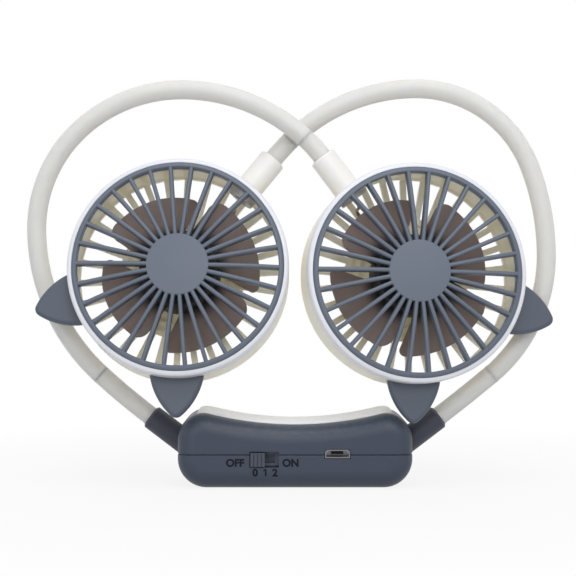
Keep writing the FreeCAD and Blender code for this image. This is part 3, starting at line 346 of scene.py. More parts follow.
@dataclass(frozen=True)
class Finish:
    """One finish: its colours, gloss and grain.

    Attributes:
        name: Name of the finish.
        colour: Display colour of most of the surface.
        shade: Display colour that it drifts to.
        rough: Lowest and highest roughness.
        surface: How it answers light.
        mottle: Share of the drift in colour.
        cloud: Size of the drift in colour.
        grain: Size of the grain.
        relief: Depth of the grain.
        dust: Share of dust on faces that look up.
        depth: Mean distance that light travels inside, or zero.
        inward: Share of light that travels inside.
        shine: Strength of the mirror-like part.
        core: Point towards which the colour darkens with painted shade, or none.
        core_reach: Distances from that point where the painted shade ends and where the full colour starts.
        core_colour: Display colour of the painted shade at that point.
    """

    name: str
    colour: Colour
    shade: Colour
    rough: Pair
    surface: Surface = Surface.PLASTIC
    mottle: float = 0.5
    cloud: float = 0.015
    grain: float = 0.0004
    relief: float = 0.000012
    dust: float = 0.04
    depth: float = 0.0
    inward: float = 0.35
    shine: float = 0.5
    core: Triple | None = None
    core_reach: Pair = (0.0125, 0.0175)
    core_colour: Colour = (44, 43, 46)

    def material(self) -> bpy.types.Material:
        """Build the material once, or return the one that exists."""
        title = f"{self.name}_finish"
        if title in bpy.data.materials:
            return bpy.data.materials[title]
        material = bpy.data.materials.new(title)
        material.use_nodes = True
        wiring = Wiring(material.node_tree)
        low, high = self.rough
        skin = wiring.group(moulded_skin(), Mottle=self.mottle, Colour=display_colour(self.colour),
                            Shade=display_colour(self.shade), Cloud_Scale=1 / self.cloud,
                            Grain_Scale=1 / self.grain, Rough_Low=low, Rough_High=high)
        gloss, height, colour = (skin[name] for name in ("Roughness", "Height", "Colour"))
        plain: dict[str, object] = {"Specular_IOR_Level": self.shine}
        if self.surface is Surface.METAL:
            plain["Metallic"] = 1.0
            lines = wiring.group(drawn_metal(), Line_Scale=1 / self.grain, Rough_Low=low, Rough_High=high)
            gloss, height = lines["Roughness"], lines["Height"]
        else:
            colour = wiring.group(settled_dust(), Colour=colour, Amount=self.dust)["Colour"]
        # Painted shade: the colour darkens towards the point, standing in for the shade behind the grille's
        # disc.
        if self.core:
            near, far = self.core_reach
            colour = wiring.group(dark_core(), Colour=colour, Core=display_colour(self.core_colour),
                                  Centre=self.core, Near=near, Far=far)["Colour"]
        if self.surface is Surface.SILICONE:
            plain |= {"Sheen_Weight": SHEEN_WEIGHT, "Sheen_Roughness": SHEEN_ROUGHNESS}
        if self.depth:
            plain |= {"Subsurface_Weight": self.inward, "Subsurface_Radius": INWARD_REACH,
                      "Subsurface_Scale": self.depth}
        bump = wiring.add("ShaderNodeBump", Strength=1.0, Distance=self.relief, Height=height)
        shader = wiring.add("ShaderNodeBsdfPrincipled", Base_Color=colour, Roughness=gloss,
                            Normal=bump.outputs[0], **plain)
        output = wiring.add("ShaderNodeOutputMaterial", Surface=shader.outputs[0])
        output.is_active_output = True
        return material


BOX_PLASTIC = Finish("box_plastic", (57, 65, 80), (52, 60, 75), (0.38, 0.48), shine=0.35)
PAD_SILICONE = Finish("pad_silicone", (254, 253, 250), (248, 247, 243), (0.55, 0.65), Surface.SILICONE,
                      depth=0.003, inward=0.7)
KNOB_PLASTIC = Finish("knob_plastic", (70, 75, 88), (63, 68, 81), (0.4, 0.5), shine=0.3)
SWITCH_PLASTIC = Finish("switch_plastic", (84, 91, 110), (76, 83, 102), (0.45, 0.55))
SOCKET_STEEL = Finish("socket_steel", (128, 128, 133), (114, 114, 120), (0.22, 0.36), Surface.METAL,
                      grain=0.0002, relief=0.000002)
TONGUE_PLASTIC = Finish("tongue_plastic", (26, 26, 29), (20, 20, 23), (0.45, 0.55), shine=0.2)
CONTACT_GOLD = Finish("contact_gold", (150, 138, 112), (136, 124, 100), (0.2, 0.3), Surface.METAL,
                      grain=0.0002, relief=0.000001)
BOARD_LAMINATE = Finish("board_laminate", (24, 96, 58), (16, 74, 46), (0.3, 0.4), mottle=0.9, cloud=0.002)
CELL_WRAP = Finish("cell_wrap", (48, 92, 150), (40, 80, 136), (0.25, 0.32), cloud=0.01)
SCREW_STEEL = Finish("screw_steel", (188, 188, 190), (172, 172, 176), (0.28, 0.4), Surface.METAL,
                     grain=0.0002, relief=0.000002)
BOOT_RUBBER = Finish("boot_rubber", (53, 56, 71), (46, 49, 64), (0.55, 0.65), Surface.SILICONE)
SLEEVE_SILICONE = Finish("sleeve_silicone", (222, 220, 215), (217, 213, 205), (0.5, 0.6), Surface.SILICONE,
                         cloud=0.03, depth=0.004, inward=0.85)
GOOSENECK_STEEL = Finish("gooseneck_steel", (150, 150, 152), (130, 130, 134), (0.3, 0.42), Surface.METAL,
                         grain=0.0002, relief=0.000002)
LEAD_RED = Finish("lead_red", (150, 34, 32), (132, 28, 28), (0.4, 0.5), Surface.SILICONE)
LEAD_TAN = Finish("lead_tan", (150, 122, 96), (136, 108, 84), (0.4, 0.5), Surface.SILICONE)
LEAD_BLACK = Finish("lead_black", (30, 30, 32), (24, 24, 26), (0.4, 0.5), Surface.SILICONE)
BEZEL_WHITE = Finish("bezel_white", (222, 224, 231), (215, 217, 225), (0.3, 0.38), depth=0.0008)
# White plastic; its cream tint is painted light, the warm cast inside the shaded head.
HOUSING_WHITE = Finish("housing_white", (251, 243, 225), (245, 234, 211), (0.34, 0.44), depth=0.0035,
                       inward=0.9)
COLLAR_WHITE = Finish("collar_white", (232, 231, 230), (226, 223, 216), (0.36, 0.46), depth=0.0008)
# Same slate plastic as the box, written lighter: painted light, for a face that catches more light.
LIT_GRILLE_PLASTIC = Finish("grille_plastic", (96, 104, 118), (89, 97, 111), (0.42, 0.5), shine=0.4)
EAR_PLASTIC = Finish("ear_plastic", (78, 85, 98), (72, 79, 92), (0.42, 0.5), shine=0.4)
IMPELLER_PLASTIC = Finish("impeller_plastic", (147, 131, 125), (137, 121, 115), (0.42, 0.52), shine=0.4)
MOTOR_STEEL = Finish("motor_steel", (170, 170, 172), (150, 150, 154), (0.25, 0.4), Surface.METAL,
                     grain=0.0003, relief=0.000003)
BUSH_BRASS = Finish("bush_brass", (198, 158, 84), (180, 142, 72), (0.25, 0.36), Surface.METAL,
                    grain=0.0002, relief=0.000002)
LABEL_INK = Finish("label_ink", (8, 11, 24), (6, 8, 20), (0.55, 0.62), relief=0.000004, dust=0.0, shine=0.2)


def dress(node: str, finish: Finish) -> None:
    """Give a node of the frame its finish.

    Args:
        node: Name of the node.
        finish: The finish.
    """
    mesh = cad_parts[node].data
    mesh.materials.clear()
    mesh.materials.append(finish.material())


def in_scene(name: str, data: bpy.types.ID) -> bpy.types.Object:
    """Put data into the scene as an object.

    Args:
        name: Name of the object.
        data: Its mesh, curve, lamp or camera.

    Returns:
        The object.
    """
    item = bpy.data.objects.new(name, data)
    bpy.context.scene.collection.objects.link(item)
    return item


def new_piece(name: str, mesh: bpy.types.Mesh, finish: Finish,
              smooth: bool = True) -> bpy.types.Object:
    """Put a finished mesh into the scene as a piece.

    Args:
        name: Name of the piece.
        mesh: Its mesh, in the frame.
        finish: Its finish.
        smooth: Whether the faces are shaded smooth.

    Returns:
        The piece's object.
    """
    mesh.name = name
    mesh.materials.clear()
    mesh.materials.append(finish.material())
    mesh.polygons.foreach_set("use_smooth", [smooth] * len(mesh.polygons))
    mesh.set_sharp_from_angle(angle=CREASE_ANGLE)
    piece = in_scene(name, mesh)
    LOG.info("%s has %d faces", name, len(mesh.polygons))
    return piece


def mesh_from(build: bmesh.types.BMesh, name: str) -> bpy.types.Mesh:
    """Turn a bmesh into a mesh and free it.

    Args:
        build: The bmesh.
        name: Name of the mesh.

    Returns:
        The mesh.
    """
    mesh = bpy.data.meshes.new(name)
    build.to_mesh(mesh)
    build.free()
    return mesh


def baked_mesh(carrier: bpy.types.Object) -> bpy.types.Mesh:
    """Turn a carrier's evaluated shape into a plain mesh and remove the carrier.

    Args:
        carrier: Object with a curve, or with a mesh and a modifier.

    Returns:
        The plain mesh.
    """
    graph = bpy.context.evaluated_depsgraph_get()
    mesh = bpy.data.meshes.new_from_object(carrier.evaluated_get(graph))
    carrier.modifiers.clear()
    bpy.data.objects.remove(carrier)
    return mesh


def thicken(build: bmesh.types.BMesh, depth: float) -> None:
    """Give flat faces a depth along Y and turn all faces outwards.

    Args:
        build: Mesh of the flat faces.
        depth: How far the back lies behind the front.
    """
    pulled = bmesh.ops.extrude_face_region(build, geom=list(build.faces))
    back = [item for item in pulled["geom"] if isinstance(item, bmesh.types.BMVert)]
    bmesh.ops.translate(build, vec=(0, depth, 0), verts=back)
    bmesh.ops.recalc_face_normals(build, faces=build.faces)


def full_turn(steps: int) -> list[float]:
    """Angles of even steps round a full turn, in radians."""
    return [math.tau * index / steps for index in range(steps)]


@dataclass
class Station:
    """A point on a path with the directions across it."""

    point: Vector
    ahead: Vector
    left: Vector

    @property
    def up(self) -> Vector:
        """Direction square to the way ahead and to the left."""
        return self.ahead.cross(self.left)


@dataclass
class Walk:
    """Walks along an arm's centre line and keeps stations by stretch.

    Attributes:
        here: Where the walk has come to.
        step: Distance between stations.
        stretches: Stations of each stretch.
    """

    here: Station
    step: float = 0.0018
    stretches: dict[str, list[Station]] = field(default_factory=dict)

    def keep(self, stretch: str, station: Station) -> None:
        """Add a station to a stretch and stand on it."""
        self.stretches.setdefault(stretch, []).append(station)
        self.here = station

    def straight(self, stretch: str, length: float) -> None:
        """Go straight on.

        Args:
            stretch: Stretch that the line belongs to.
            length: Length of the line.
        """
        start = self.here
        count = max(2, round(length / self.step))
        for index in range(count + 1):
            point = start.point + start.ahead * (length * index / count)
            self.keep(stretch, Station(point, start.ahead, start.left))

    def bend(self, stretch: str, radius: float, turn: float, towards: Vector | None = None) -> None:
        """Turn on an arc.

        Args:
            stretch: Stretch that the arc belongs to.
            radius: Radius of the arc.
            turn: Angle of the arc in degrees.
            towards: Direction to turn to, or the left if it isn't given.
        """
        start = self.here
        side = towards or start.left
        axis = start.ahead.cross(side)
        centre = start.point + side * radius
        count = max(2, round(radius * math.radians(turn) / self.step))
        for index in range(count + 1):
            spin = Matrix.Rotation(math.radians(turn) * index / count, 3, axis)
            point = centre + spin @ (start.point - centre)
            self.keep(stretch, Station(point, spin @ start.ahead, spin @ start.left))


def tidy_stations(stations: Sequence[Station]) -> list[Station]:
    """Drop stations that stand on the one before.

    Args:
        stations: Stations along a path.

    Returns:
        The stations that are kept.
    """
    kept = [stations[0]]
    for station in stations[1:]:
        if (station.point - kept[-1].point).length > STATION_GAP:
            kept.append(station)
    return kept


def ring(build: bmesh.types.BMesh, station: Station, radius: float, sides: int) -> list[bmesh.types.BMVert]:
    """Add a ring of vertices square to a station and return it."""
    return [build.verts.new(station.point + (station.left * math.cos(a) + station.up * math.sin(a)) * radius)
            for a in full_turn(sides)]


def bridge(build: bmesh.types.BMesh, first: list, second: list) -> None:
    """Join two rings with a band of faces."""
    for index in range(len(first)):
        build.faces.new((first[index - 1], first[index], second[index], second[index - 1]))


def tube_mesh(stations: Sequence[Station], radius: float, sides: int, bore: float = 0.0) -> bpy.types.Mesh:
    """Sweep a round tube, or a rod if it has no bore.

    Args:
        stations: Stations along the centre line.
        radius: Outer radius.
        sides: Faces round the tube.
        bore: Radius of the hole.

    Returns:
        The closed mesh.
    """
    build = bmesh.new()
    way = tidy_stations(stations)
    outer = [ring(build, station, radius, sides) for station in way]
    for first, second in zip(outer, outer[1:]):
        bridge(build, first, second)
    if bore:
        inner = [ring(build, station, bore, sides) for station in way]
        for first, second in zip(inner, inner[1:]):
            bridge(build, second, first)
        bridge(build, inner[0], outer[0])
        bridge(build, outer[-1], inner[-1])
    else:
        build.faces.new(list(reversed(outer[0])))
        build.faces.new(outer[-1])
    bmesh.ops.recalc_face_normals(build, faces=build.faces)
    return mesh_from(build, "tube")


def lathe(build: bmesh.types.BMesh, profile: Sequence[Pair], steps: int) -> None:
    """Turn a closed profile about the Z axis.

    Args:
        build: Mesh that the turned form is added to.
        profile: Radius and height of each corner, anticlockwise; a corner on the axis has radius zero.
        steps: Faces round the axis.
    """
    turns = full_turn(steps)
    rows = []
    for radius, height in profile:
        if radius:
            points = [(radius * math.cos(a), radius * math.sin(a), height) for a in turns]
            rows.append([build.verts.new(point) for point in points])
        else:
            rows.append([build.verts.new((0, 0, height))] * steps)
    for low, high in zip(rows, rows[1:] + rows[:1]):
        for index in range(steps):
            corners = dict.fromkeys((low[index - 1], low[index], high[index], high[index - 1]))
            if len(corners) > 2:
                build.faces.new(list(corners))


def nodes_tree(name: str, inputs: Inputs, fill: Callable[[Wiring, dict], Socket]) -> Tree:
    """Build a geometry node tree with named inputs, ending in real mesh with its material.

    Args:
        name: Name of the tree.
        inputs: Socket type and default of each input, by name, besides the geometry and the material.
        fill: Adds the nodes, given the wiring and the inputs' sockets, and returns the geometry.

    Returns:
        The tree.
    """
    if name not in bpy.data.node_groups:
        shape = "NodeSocketGeometry"
        sockets = {"Geometry": (shape, None), "Material": ("NodeSocketMaterial", None), **inputs}
        wiring, given, out = open_tree(name, "GeometryNodeTree", sockets, {"Geometry": shape})
        real = wiring.add("GeometryNodeRealizeInstances", Geometry=fill(wiring, given))
        dressed = wiring.add("GeometryNodeSetMaterial", Geometry=real.outputs[0], Material=given["Material"])
        wiring.feed(out["Geometry"], dressed.outputs[0])
    return bpy.data.node_groups[name]


def grown_mesh(seed: bpy.types.Mesh, tree: Tree, values: dict[str, object]) -> bpy.types.Mesh:
    """Run a geometry node tree on a mesh and return the result as a plain mesh.

    Args:
        seed: Mesh that the tree starts from.
        tree: The tree.
        values: Values of the tree's inputs, by name.

    Returns:
        The plain mesh.
    """
    carrier = in_scene("carrier", seed)
    modifier = carrier.modifiers.new("grow", "NODES")
    modifier.node_group = tree
    for socket in tree.interface.items_tree:
        if socket.in_out == "INPUT" and socket.name in values:
            modifier[socket.identifier] = values[socket.name]
    mesh = baked_mesh(carrier)
    bpy.data.meshes.remove(seed)
    return mesh


def path_mesh(points: Sequence[Vector]) -> bpy.types.Mesh:
    """Make a mesh of edges through points, as a seed for what follows a path.

    Args:
        points: Points along the path.

    Returns:
        The mesh.
    """
    mesh = bpy.data.meshes.new("path")
    mesh.from_pydata([tuple(point) for point in points], [(i, i + 1) for i in range(len(points) - 1)], [])
    return mesh


def winding_tree() -> Tree:
    """Turns of round wire set side by side along a path."""
    def fill(wiring: Wiring, given: dict) -> Socket:
        """Set one turn at each step of the path."""
        circle = "GeometryNodeCurvePrimitiveCircle"
        curve = wiring.add("GeometryNodeMeshToCurve", Mesh=given["Geometry"])
        steps = wiring.add("GeometryNodeResampleCurve", {"mode": "LENGTH"}, Curve=curve.outputs[0],
                           Length=given["Pitch"])
        tangent = wiring.add("GeometryNodeInputTangent").outputs[0]
        aligned = wiring.add("FunctionNodeAlignRotationToVector", {"axis": "Z"}, Vector=tangent)
        turn = wiring.add(circle, Resolution=given["Turn Steps"], Radius=given["Turn Radius"])
        wire = wiring.add(circle, Resolution=given["Wire Steps"], Radius=given["Wire Radius"])
        loop = wiring.add("GeometryNodeCurveToMesh", Curve=turn.outputs[0], Profile_Curve=wire.outputs[0])
        placed = wiring.add("GeometryNodeInstanceOnPoints", Points=steps.outputs[0], Instance=loop.outputs[0],
                            Rotation=aligned.outputs[0])
        return placed.outputs[0]

    return nodes_tree("wound_core", {
        "Pitch": (NUMBER, 0.0012), "Turn Radius": (NUMBER, 0.0014), "Wire Radius": (NUMBER, 0.0005),
        "Turn Steps": (COUNT, 14), "Wire Steps": (COUNT, 5),
    }, fill)


def row_tree() -> Tree:
    """A row of small bars along X."""
    def fill(wiring: Wiring, given: dict) -> Socket:
        """Set one bar at each point of the row."""
        points = wiring.add("GeometryNodeMeshToPoints", Mesh=given["Geometry"]).outputs[0]
        size = wiring.add("ShaderNodeCombineXYZ", X=given["Width"], Y=given["Length"], Z=given["Height"])
        bar = wiring.add("GeometryNodeMeshCube", Size=size.outputs[0])
        placed = wiring.add("GeometryNodeInstanceOnPoints", Points=points, Instance=bar.outputs[0])
        return placed.outputs[0]

    return nodes_tree("contact_row", {
        "Width": (NUMBER, 0.0004), "Length": (NUMBER, 0.003), "Height": (NUMBER, 0.0001),
    }, fill)


def spokes_tree() -> Tree:
    """Curved bars with rounded edges set round the Z axis, joined to the geometry that comes in."""
    def fill(wiring: Wiring, given: dict) -> Socket:
        """Sweep one bar and set a turned copy for each count."""
        arc = wiring.add("GeometryNodeCurveArc", {"mode": "POINTS"}, Resolution=given["Arc Steps"],
                         Start=given["Start"], Middle=given["Middle"], End=given["End"])
        steady = wiring.add("GeometryNodeSetCurveNormal", {"mode": "Z_UP"}, Curve=arc.outputs[0])
        outline = wiring.add("GeometryNodeCurvePrimitiveQuadrilateral", Width=given["Width"],
                             Height=given["Depth"])
        section = wiring.add("GeometryNodeFilletCurve", {"mode": "POLY"}, Curve=outline.outputs[0],
                             Count=given["Corner Steps"], Radius=given["Round"])
        bar = wiring.add("GeometryNodeCurveToMesh", Curve=steady.outputs[0], Profile_Curve=section.outputs[0],
                         Fill_Caps=True)
        points = wiring.add("GeometryNodePoints", Count=given["Count"])
        index = wiring.add("GeometryNodeInputIndex").outputs[0]
        angle = wiring.math("DIVIDE", wiring.math("MULTIPLY", index, math.tau), given["Count"])
        turn = wiring.add("ShaderNodeCombineXYZ", Z=angle)
        placed = wiring.add("GeometryNodeInstanceOnPoints", Points=points.outputs[0], Instance=bar.outputs[0],
                            Rotation=turn.outputs[0])
        real = wiring.add("GeometryNodeRealizeInstances", Geometry=placed.outputs[0])
        both = wiring.add("GeometryNodeJoinGeometry", Geometry=real.outputs[0])
        wiring.feed(both.inputs[0], given["Geometry"])
        return both.outputs[0]

    return nodes_tree("spoked_grille", {
        "Start": (PLACE, (0.01, 0, 0)), "Middle": (PLACE, (0.02, 0, 0.001)), "End": (PLACE, (0.03, 0, 0)),
        "Width": (NUMBER, 0.0013), "Depth": (NUMBER, 0.002), "Round": (NUMBER, 0.0003),
        "Count": (COUNT, 30), "Arc Steps": (COUNT, 14), "Corner Steps": (COUNT, 3),
    }, fill)


@dataclass
class Arm:
    """One bendable arm: silicone sleeve, wound core and leads, from its boot to the far head's collar.

    Attributes:
        side: Side of the box that the arm leaves.
        root_radius: Radius of the bend out of the boot.
        root_turn: Angle of that bend, in degrees.
        low_radius: Radius of the bend up to the side of the loop.
        side_radius: Radius of the loop's side.
        side_turn: Angle of the loop's side.
        shoulder_radius: Radius of the bend over the loop's shoulder, up to its top.
        end_radius: Radius of the bend down to the tip.
        end_turn: Angle below level at the collar.
        tip_turn: Angle of the tip's own bend in the loop's plane.
        head_bend: Angle of the tip's bend towards the viewer.
        lean: Angle by which the loop leans towards the viewer.
        head_swivel: Angle by which the head is swivelled about the collar.
        boot_angle: Angle of the boot above level.
        boot_root_x: Distance of the boot's root from the box's middle.
        boot_root_height: Height of the boot's root.
        boot_length: Length of the boot.
        boot_grip: Length of sleeve inside the boot.
        collar_grip: Length of sleeve inside the collar.
        collar_reach: Distance from the collar's mouth to the head's axis.
        collar_depth: Depth of the collar's middle behind the front of the head.
        tip_length: Length of the bend at the tip.
        sleeve_radius: Outer radius of the sleeve.
        sleeve_bore: Radius of the sleeve's hole.
        sleeve_sides: Faces round the sleeve.
        core_radius: Outer radius of the wound core.
        wire_radius: Radius of the core's wire.
        turn_steps: Steps round each turn of the core.
        wire_steps: Faces round the core's wire.
        strand_radius: Radius of a lead, and of its twist.
        strand_pitch: Length of one turn of the leads' twist.
        strand_sides: Faces round a lead.
    """

    side: Side
    root_radius: float
    root_turn: float
    low_radius: float
    side_radius: float
    side_turn: float
    shoulder_radius: float
    end_radius: float
    end_turn: float
    tip_turn: float
    head_bend: float
    lean: float
    head_swivel: float
    boot_angle: float = 37.3
    boot_root_x: float = 0.0375
    boot_root_height: float = 0.0149
    boot_length: float = 0.0106
    boot_grip: float = 0.006
    collar_grip: float = 0.005
    collar_reach: float = 0.04675
    collar_depth: float = 0.01
    tip_length: float = 0.008
    sleeve_radius: float = 0.003
    sleeve_bore: float = 0.002
    sleeve_sides: int = 32
    core_radius: float = 0.0019
    wire_radius: float = 0.00042
    turn_steps: int = 14
    wire_steps: int = 5
    strand_radius: float = 0.00038
    strand_pitch: float = 0.012
    strand_sides: int = 10

    def walk(self) -> Walk:
        """Walk the centre line and return its stations by stretch."""
        sign = self.side.value
        angle, lean = math.radians(self.boot_angle), math.radians(self.lean)
        ahead = Vector((sign * math.cos(angle), 0, math.sin(angle)))
        left = Vector((-sign * math.sin(angle), 0, math.cos(angle))) * math.cos(lean)
        left += Vector((0, sign * math.sin(lean), 0))
        root = Vector((sign * self.boot_root_x, 0, self.boot_root_height))
        walk = Walk(Station(root + ahead * (self.boot_length - self.boot_grip), ahead, left))
        walk.straight("root", self.boot_grip)
        walk.bend("root", self.root_radius, self.root_turn)
        walk.bend("loop", self.low_radius, RIGHT_ANGLE - self.boot_angle - self.root_turn)
        walk.bend("loop", self.side_radius, self.side_turn)
        walk.bend("loop", self.shoulder_radius, RIGHT_ANGLE - self.side_turn)
        walk.bend("loop", self.end_radius, self.end_turn - self.tip_turn)
        forward = walk.here.up * sign
        turn = math.hypot(self.tip_turn, self.head_bend)
        towards = (walk.here.left * self.tip_turn + forward * self.head_bend).normalized()
        walk.bend("tip", self.tip_length / math.radians(turn), turn, towards)
        walk.straight("tip", self.collar_grip)
        return walk

    def head_place(self) -> Matrix:
        """Place of the head on this arm, its Z out of the grille and its Y towards the collar."""
        last = self.walk().here
        into = last.ahead
        front = Vector((0, -1, 0))
        front = (front - into * front.dot(into)).normalized()
        across = into.cross(front)
        across = across if across.z > 0 else -across
        swivel = math.radians(self.head_swivel)
        facing = front * math.cos(swivel) + across * math.sin(swivel)
        mouth = last.point - into * self.collar_grip
        place = Matrix((-into.cross(facing), -into, facing)).transposed().to_4x4()
        place.translation = mouth + into * self.collar_reach + facing * self.collar_depth
        return place

    def strand(self, stations: Sequence[Station], start: float) -> list[Station]:
        """Stations of one lead, twisted round the centre line.

        Args:
            stations: Stations of the centre line.
            start: Angle at which the lead starts, in radians.

        Returns:
            The lead's stations.
        """
        moved, gone = [], 0.0
        way = tidy_stations(stations)
        for index, station in enumerate(way):
            gone += (station.point - way[index - 1].point).length if index else 0.0
            angle = start + math.tau * gone / self.strand_pitch
            offset = (station.left * math.cos(angle) + station.up * math.sin(angle)) * self.strand_radius
            moved.append(Station(station.point + offset, station.ahead, station.left))
        return moved

    def join(self, piece: bpy.types.Object, stretch: str) -> None:
        """Make a piece of the loop follow its arm's body; pieces of the root and tip stay where they are.

        Args:
            piece: The piece.
            stretch: Its stretch.
        """
        arm = f"{self.side.word}_arm"
        if stretch == "loop":
            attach(piece, arm)
            return
        if stretch == "root":
            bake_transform(piece)
            return
        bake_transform(piece)

    def build(self) -> None:
        """Build the sleeve, core and leads of every stretch."""
        walk = self.walk()
        word = self.side.word
        for stretch, stations in walk.stretches.items():
            tube = tube_mesh(stations, self.sleeve_radius, self.sleeve_sides, self.sleeve_bore)
            sleeve = new_piece(f"{word}_arm_sleeve_{stretch}", tube, SLEEVE_SILICONE)
            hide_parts(f"{word}_sleeve_{stretch}")
            self.join(sleeve, stretch)
            points = [station.point for station in tidy_stations(stations)]
            wound = grown_mesh(path_mesh(points), winding_tree(), {
                "Material": GOOSENECK_STEEL.material(), "Pitch": 2 * self.wire_radius,
                "Turn Radius": self.core_radius - self.wire_radius, "Wire Radius": self.wire_radius,
                "Turn Steps": self.turn_steps, "Wire Steps": self.wire_steps})
            core = new_piece(f"{word}_wound_core_{stretch}", wound, GOOSENECK_STEEL)
            self.join(core, stretch)
            for finish, start in ((LEAD_RED, 0.0), (LEAD_BLACK, math.pi)):
                rod = tube_mesh(self.strand(stations, start), self.strand_radius, self.strand_sides)
                lead = new_piece(f"{word}_{finish.name}_{stretch}", rod, finish)
                self.join(lead, stretch)
                if stretch == "loop" and finish is LEAD_RED:
                    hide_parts(f"{word}_arm_leads")
            if stretch == "loop":
                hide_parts(f"{word}_gooseneck")


@dataclass
class BatteryBox:
    """Battery box with its neck pad, switch, charging socket and lettering.

    Attributes:
        length: Length of the box.
        depth: Depth of the box.
        hump_height: Height of the humps.
        middle_height: Height of the concave side's lowest line.
        hump_radius: Radius of the humps.
        pad_thickness: Thickness of the pad in its middle.
        pad_width: Width of the pad.
        pad_wrap: Angle by which the pad runs over the humps' tops, in degrees.
        pad_gap: Gap under the pad.
        pad_steps: Faces along the pad.
        pad_rows: Faces across the pad.
        pad_end_power: How sharply the pad's ends round off.
        pad_edge_power: How sharply its long edges round off.
        pad_row_power: How far the rows crowd towards the long edges.
        pad_crown: Share of the thickness that is lost towards the long edges.
        letter_height: Height of the capitals.
        letter_weight: How much the strokes are thickened.
        letter_proud: How far the print stands out of the shell, and reaches into it.
        letter_cut: Height of the bands in which the print follows the shell.
        capital_share: Height of a capital as a share of the font's size.
        mouth_gap: Gap between the shell's mouth and the socket.
        mouth_depth: Depth of the corner pieces.
        socket_chamfer: Size of the socket's slanted corners.
        socket_recess: How far the socket stands back in its mouth.
        contact_count: Number of contacts.
        contact_pitch: Distance from contact to contact.
        contact_length: Length of a contact.
        contact_height: Height of a contact.
        contact_width: Width of a contact.
    """

    length: float = 0.073
    depth: float = 0.032
    hump_height: float = 0.023
    middle_height: float = 0.0195
    hump_radius: float = 0.008
    pad_thickness: float = 0.0009
    pad_width: float = 0.021
    pad_wrap: float = 17.0
    pad_gap: float = 0.00002
    pad_steps: int = 96
    pad_rows: int = 28
    pad_end_power: int = 60
    pad_edge_power: int = 24
    pad_row_power: float = 2.2
    pad_crown: float = 0.18
    letter_height: float = 0.0022
    letter_weight: float = 0.00014
    letter_proud: float = 0.00004
    letter_cut: float = 0.0002
    capital_share: float = 0.69
    mouth_gap: float = 0.0002
    mouth_depth: float = 0.0015
    socket_chamfer: float = 0.0008
    socket_recess: float = 0.0003
    contact_count: int = 5
    contact_pitch: float = 0.00065
    contact_length: float = 0.003
    contact_height: float = 0.00008
    contact_width: float = 0.0004

    FINISHES = {
        "outer_shell": BOX_PLASTIC, "neck_side_shell": BOX_PLASTIC, "switch_knob": KNOB_PLASTIC,
        "switch_body": SWITCH_PLASTIC, "charging_socket": SOCKET_STEEL, "socket_tongue": TONGUE_PLASTIC,
        "circuit_board": BOARD_LAMINATE, "battery_cell": CELL_WRAP, "case_screws": SCREW_STEEL,
        "board_screws": SCREW_STEEL, "left_boot": BOOT_RUBBER, "right_boot": BOOT_RUBBER,
    }
    # Middle of each word or digit: X, and height of the capitals' middle
    LABELS = {"OFF": (-0.0185, 0.0082), "ON": (-0.0014, 0.0082), "0": (-0.0123, 0.0052),
              "1": (-0.0092, 0.0052), "2": (-0.0062, 0.0052)}
    # Stem, head and flag of a plain 1, in shares of the capitals' height
    DIGIT_ONE = (((-0.05, 0.0), (0.18, 0.0), (0.18, 0.74), (-0.05, 0.74)),
                 ((-0.05, 0.74), (0.18, 0.74), (0.18, 1.0), (-0.05, 1.0)),
                 ((-0.28, 0.6), (-0.05, 0.74), (-0.05, 1.0), (-0.28, 0.8)))

    def top_line(self) -> list[Station]:
        """Stations along the top of the box, from hump to hump, looking to +X with up as left."""
        hump_x, hump_z = self.length / 2 - self.hump_radius, self.hump_height - self.hump_radius
        dip = self.middle_height - hump_z
        concave = (hump_x ** 2 + dip ** 2 - self.hump_radius ** 2) / 2 / (self.hump_radius - dip)
        lean = math.asin(hump_x / (concave + self.hump_radius))
        wrap = math.radians(self.pad_wrap)
        humps = self.hump_radius * (wrap + lean)
        total = 2 * humps + 2 * concave * lean
        stations = []
        for index in range(self.pad_steps + 1):
            gone = total * index / self.pad_steps
            if gone < humps:
                angle = -wrap + gone / self.hump_radius
                centre, radius = Vector((-hump_x, 0, hump_z)), self.hump_radius
            elif gone > total - humps:
                angle = wrap - (total - gone) / self.hump_radius
                centre, radius = Vector((hump_x, 0, hump_z)), self.hump_radius
            else:
                angle = lean - (gone - humps) / concave
                centre, radius = Vector((0, 0, self.middle_height + concave)), -concave
            outward = Vector((math.sin(angle), 0, math.cos(angle)))
            stations.append(Station(centre + outward * radius, Vector((outward.z, 0, -outward.x)), outward))
        return stations

    def build_pad(self) -> None:
        """Build the soft neck pad: a thin strip with rounded edges and a slight crown."""
        build = bmesh.new()
        rows_top, rows_low = [], []
        for index, station in enumerate(self.top_line()):
            along = abs(2 * index / self.pad_steps - 1)
            end = math.sqrt(1 - along ** self.pad_end_power)
            top, low = [], []
            for row in range(self.pad_rows + 1):
                across = 2 * row / self.pad_rows - 1
                across = math.copysign(1 - (1 - abs(across)) ** self.pad_row_power, across)
                edge = math.sqrt(1 - abs(across) ** self.pad_edge_power)
                crown = 1 - self.pad_crown * across ** 2
                side = Vector((0, across * self.pad_width / 2, 0))
                rise = self.pad_gap + self.pad_thickness * end * edge * crown
                top.append(build.verts.new(station.point + station.left * rise + side))
                low.append(build.verts.new(station.point + station.left * self.pad_gap + side))
            rows_top.append(top)
            rows_low.append(low)
        for grid in (rows_top, rows_low):
            tips = {grid[0][0], grid[0][-1], grid[-1][0], grid[-1][-1]}
            for first, second in zip(grid, grid[1:]):
                for row in range(self.pad_rows):
                    corners = (first[row], first[row + 1], second[row + 1], second[row])
                    build.faces.new([corner for corner in corners if corner not in tips])
            bmesh.ops.delete(build, geom=list(tips), context="VERTS")
        bmesh.ops.remove_doubles(build, verts=build.verts, dist=WELD_GAP)
        bmesh.ops.recalc_face_normals(build, faces=build.faces)
        pad = new_piece("soft_neck_pad", mesh_from(build, "pad"), PAD_SILICONE)
        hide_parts("neck_pad")
        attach(pad, "battery_box")

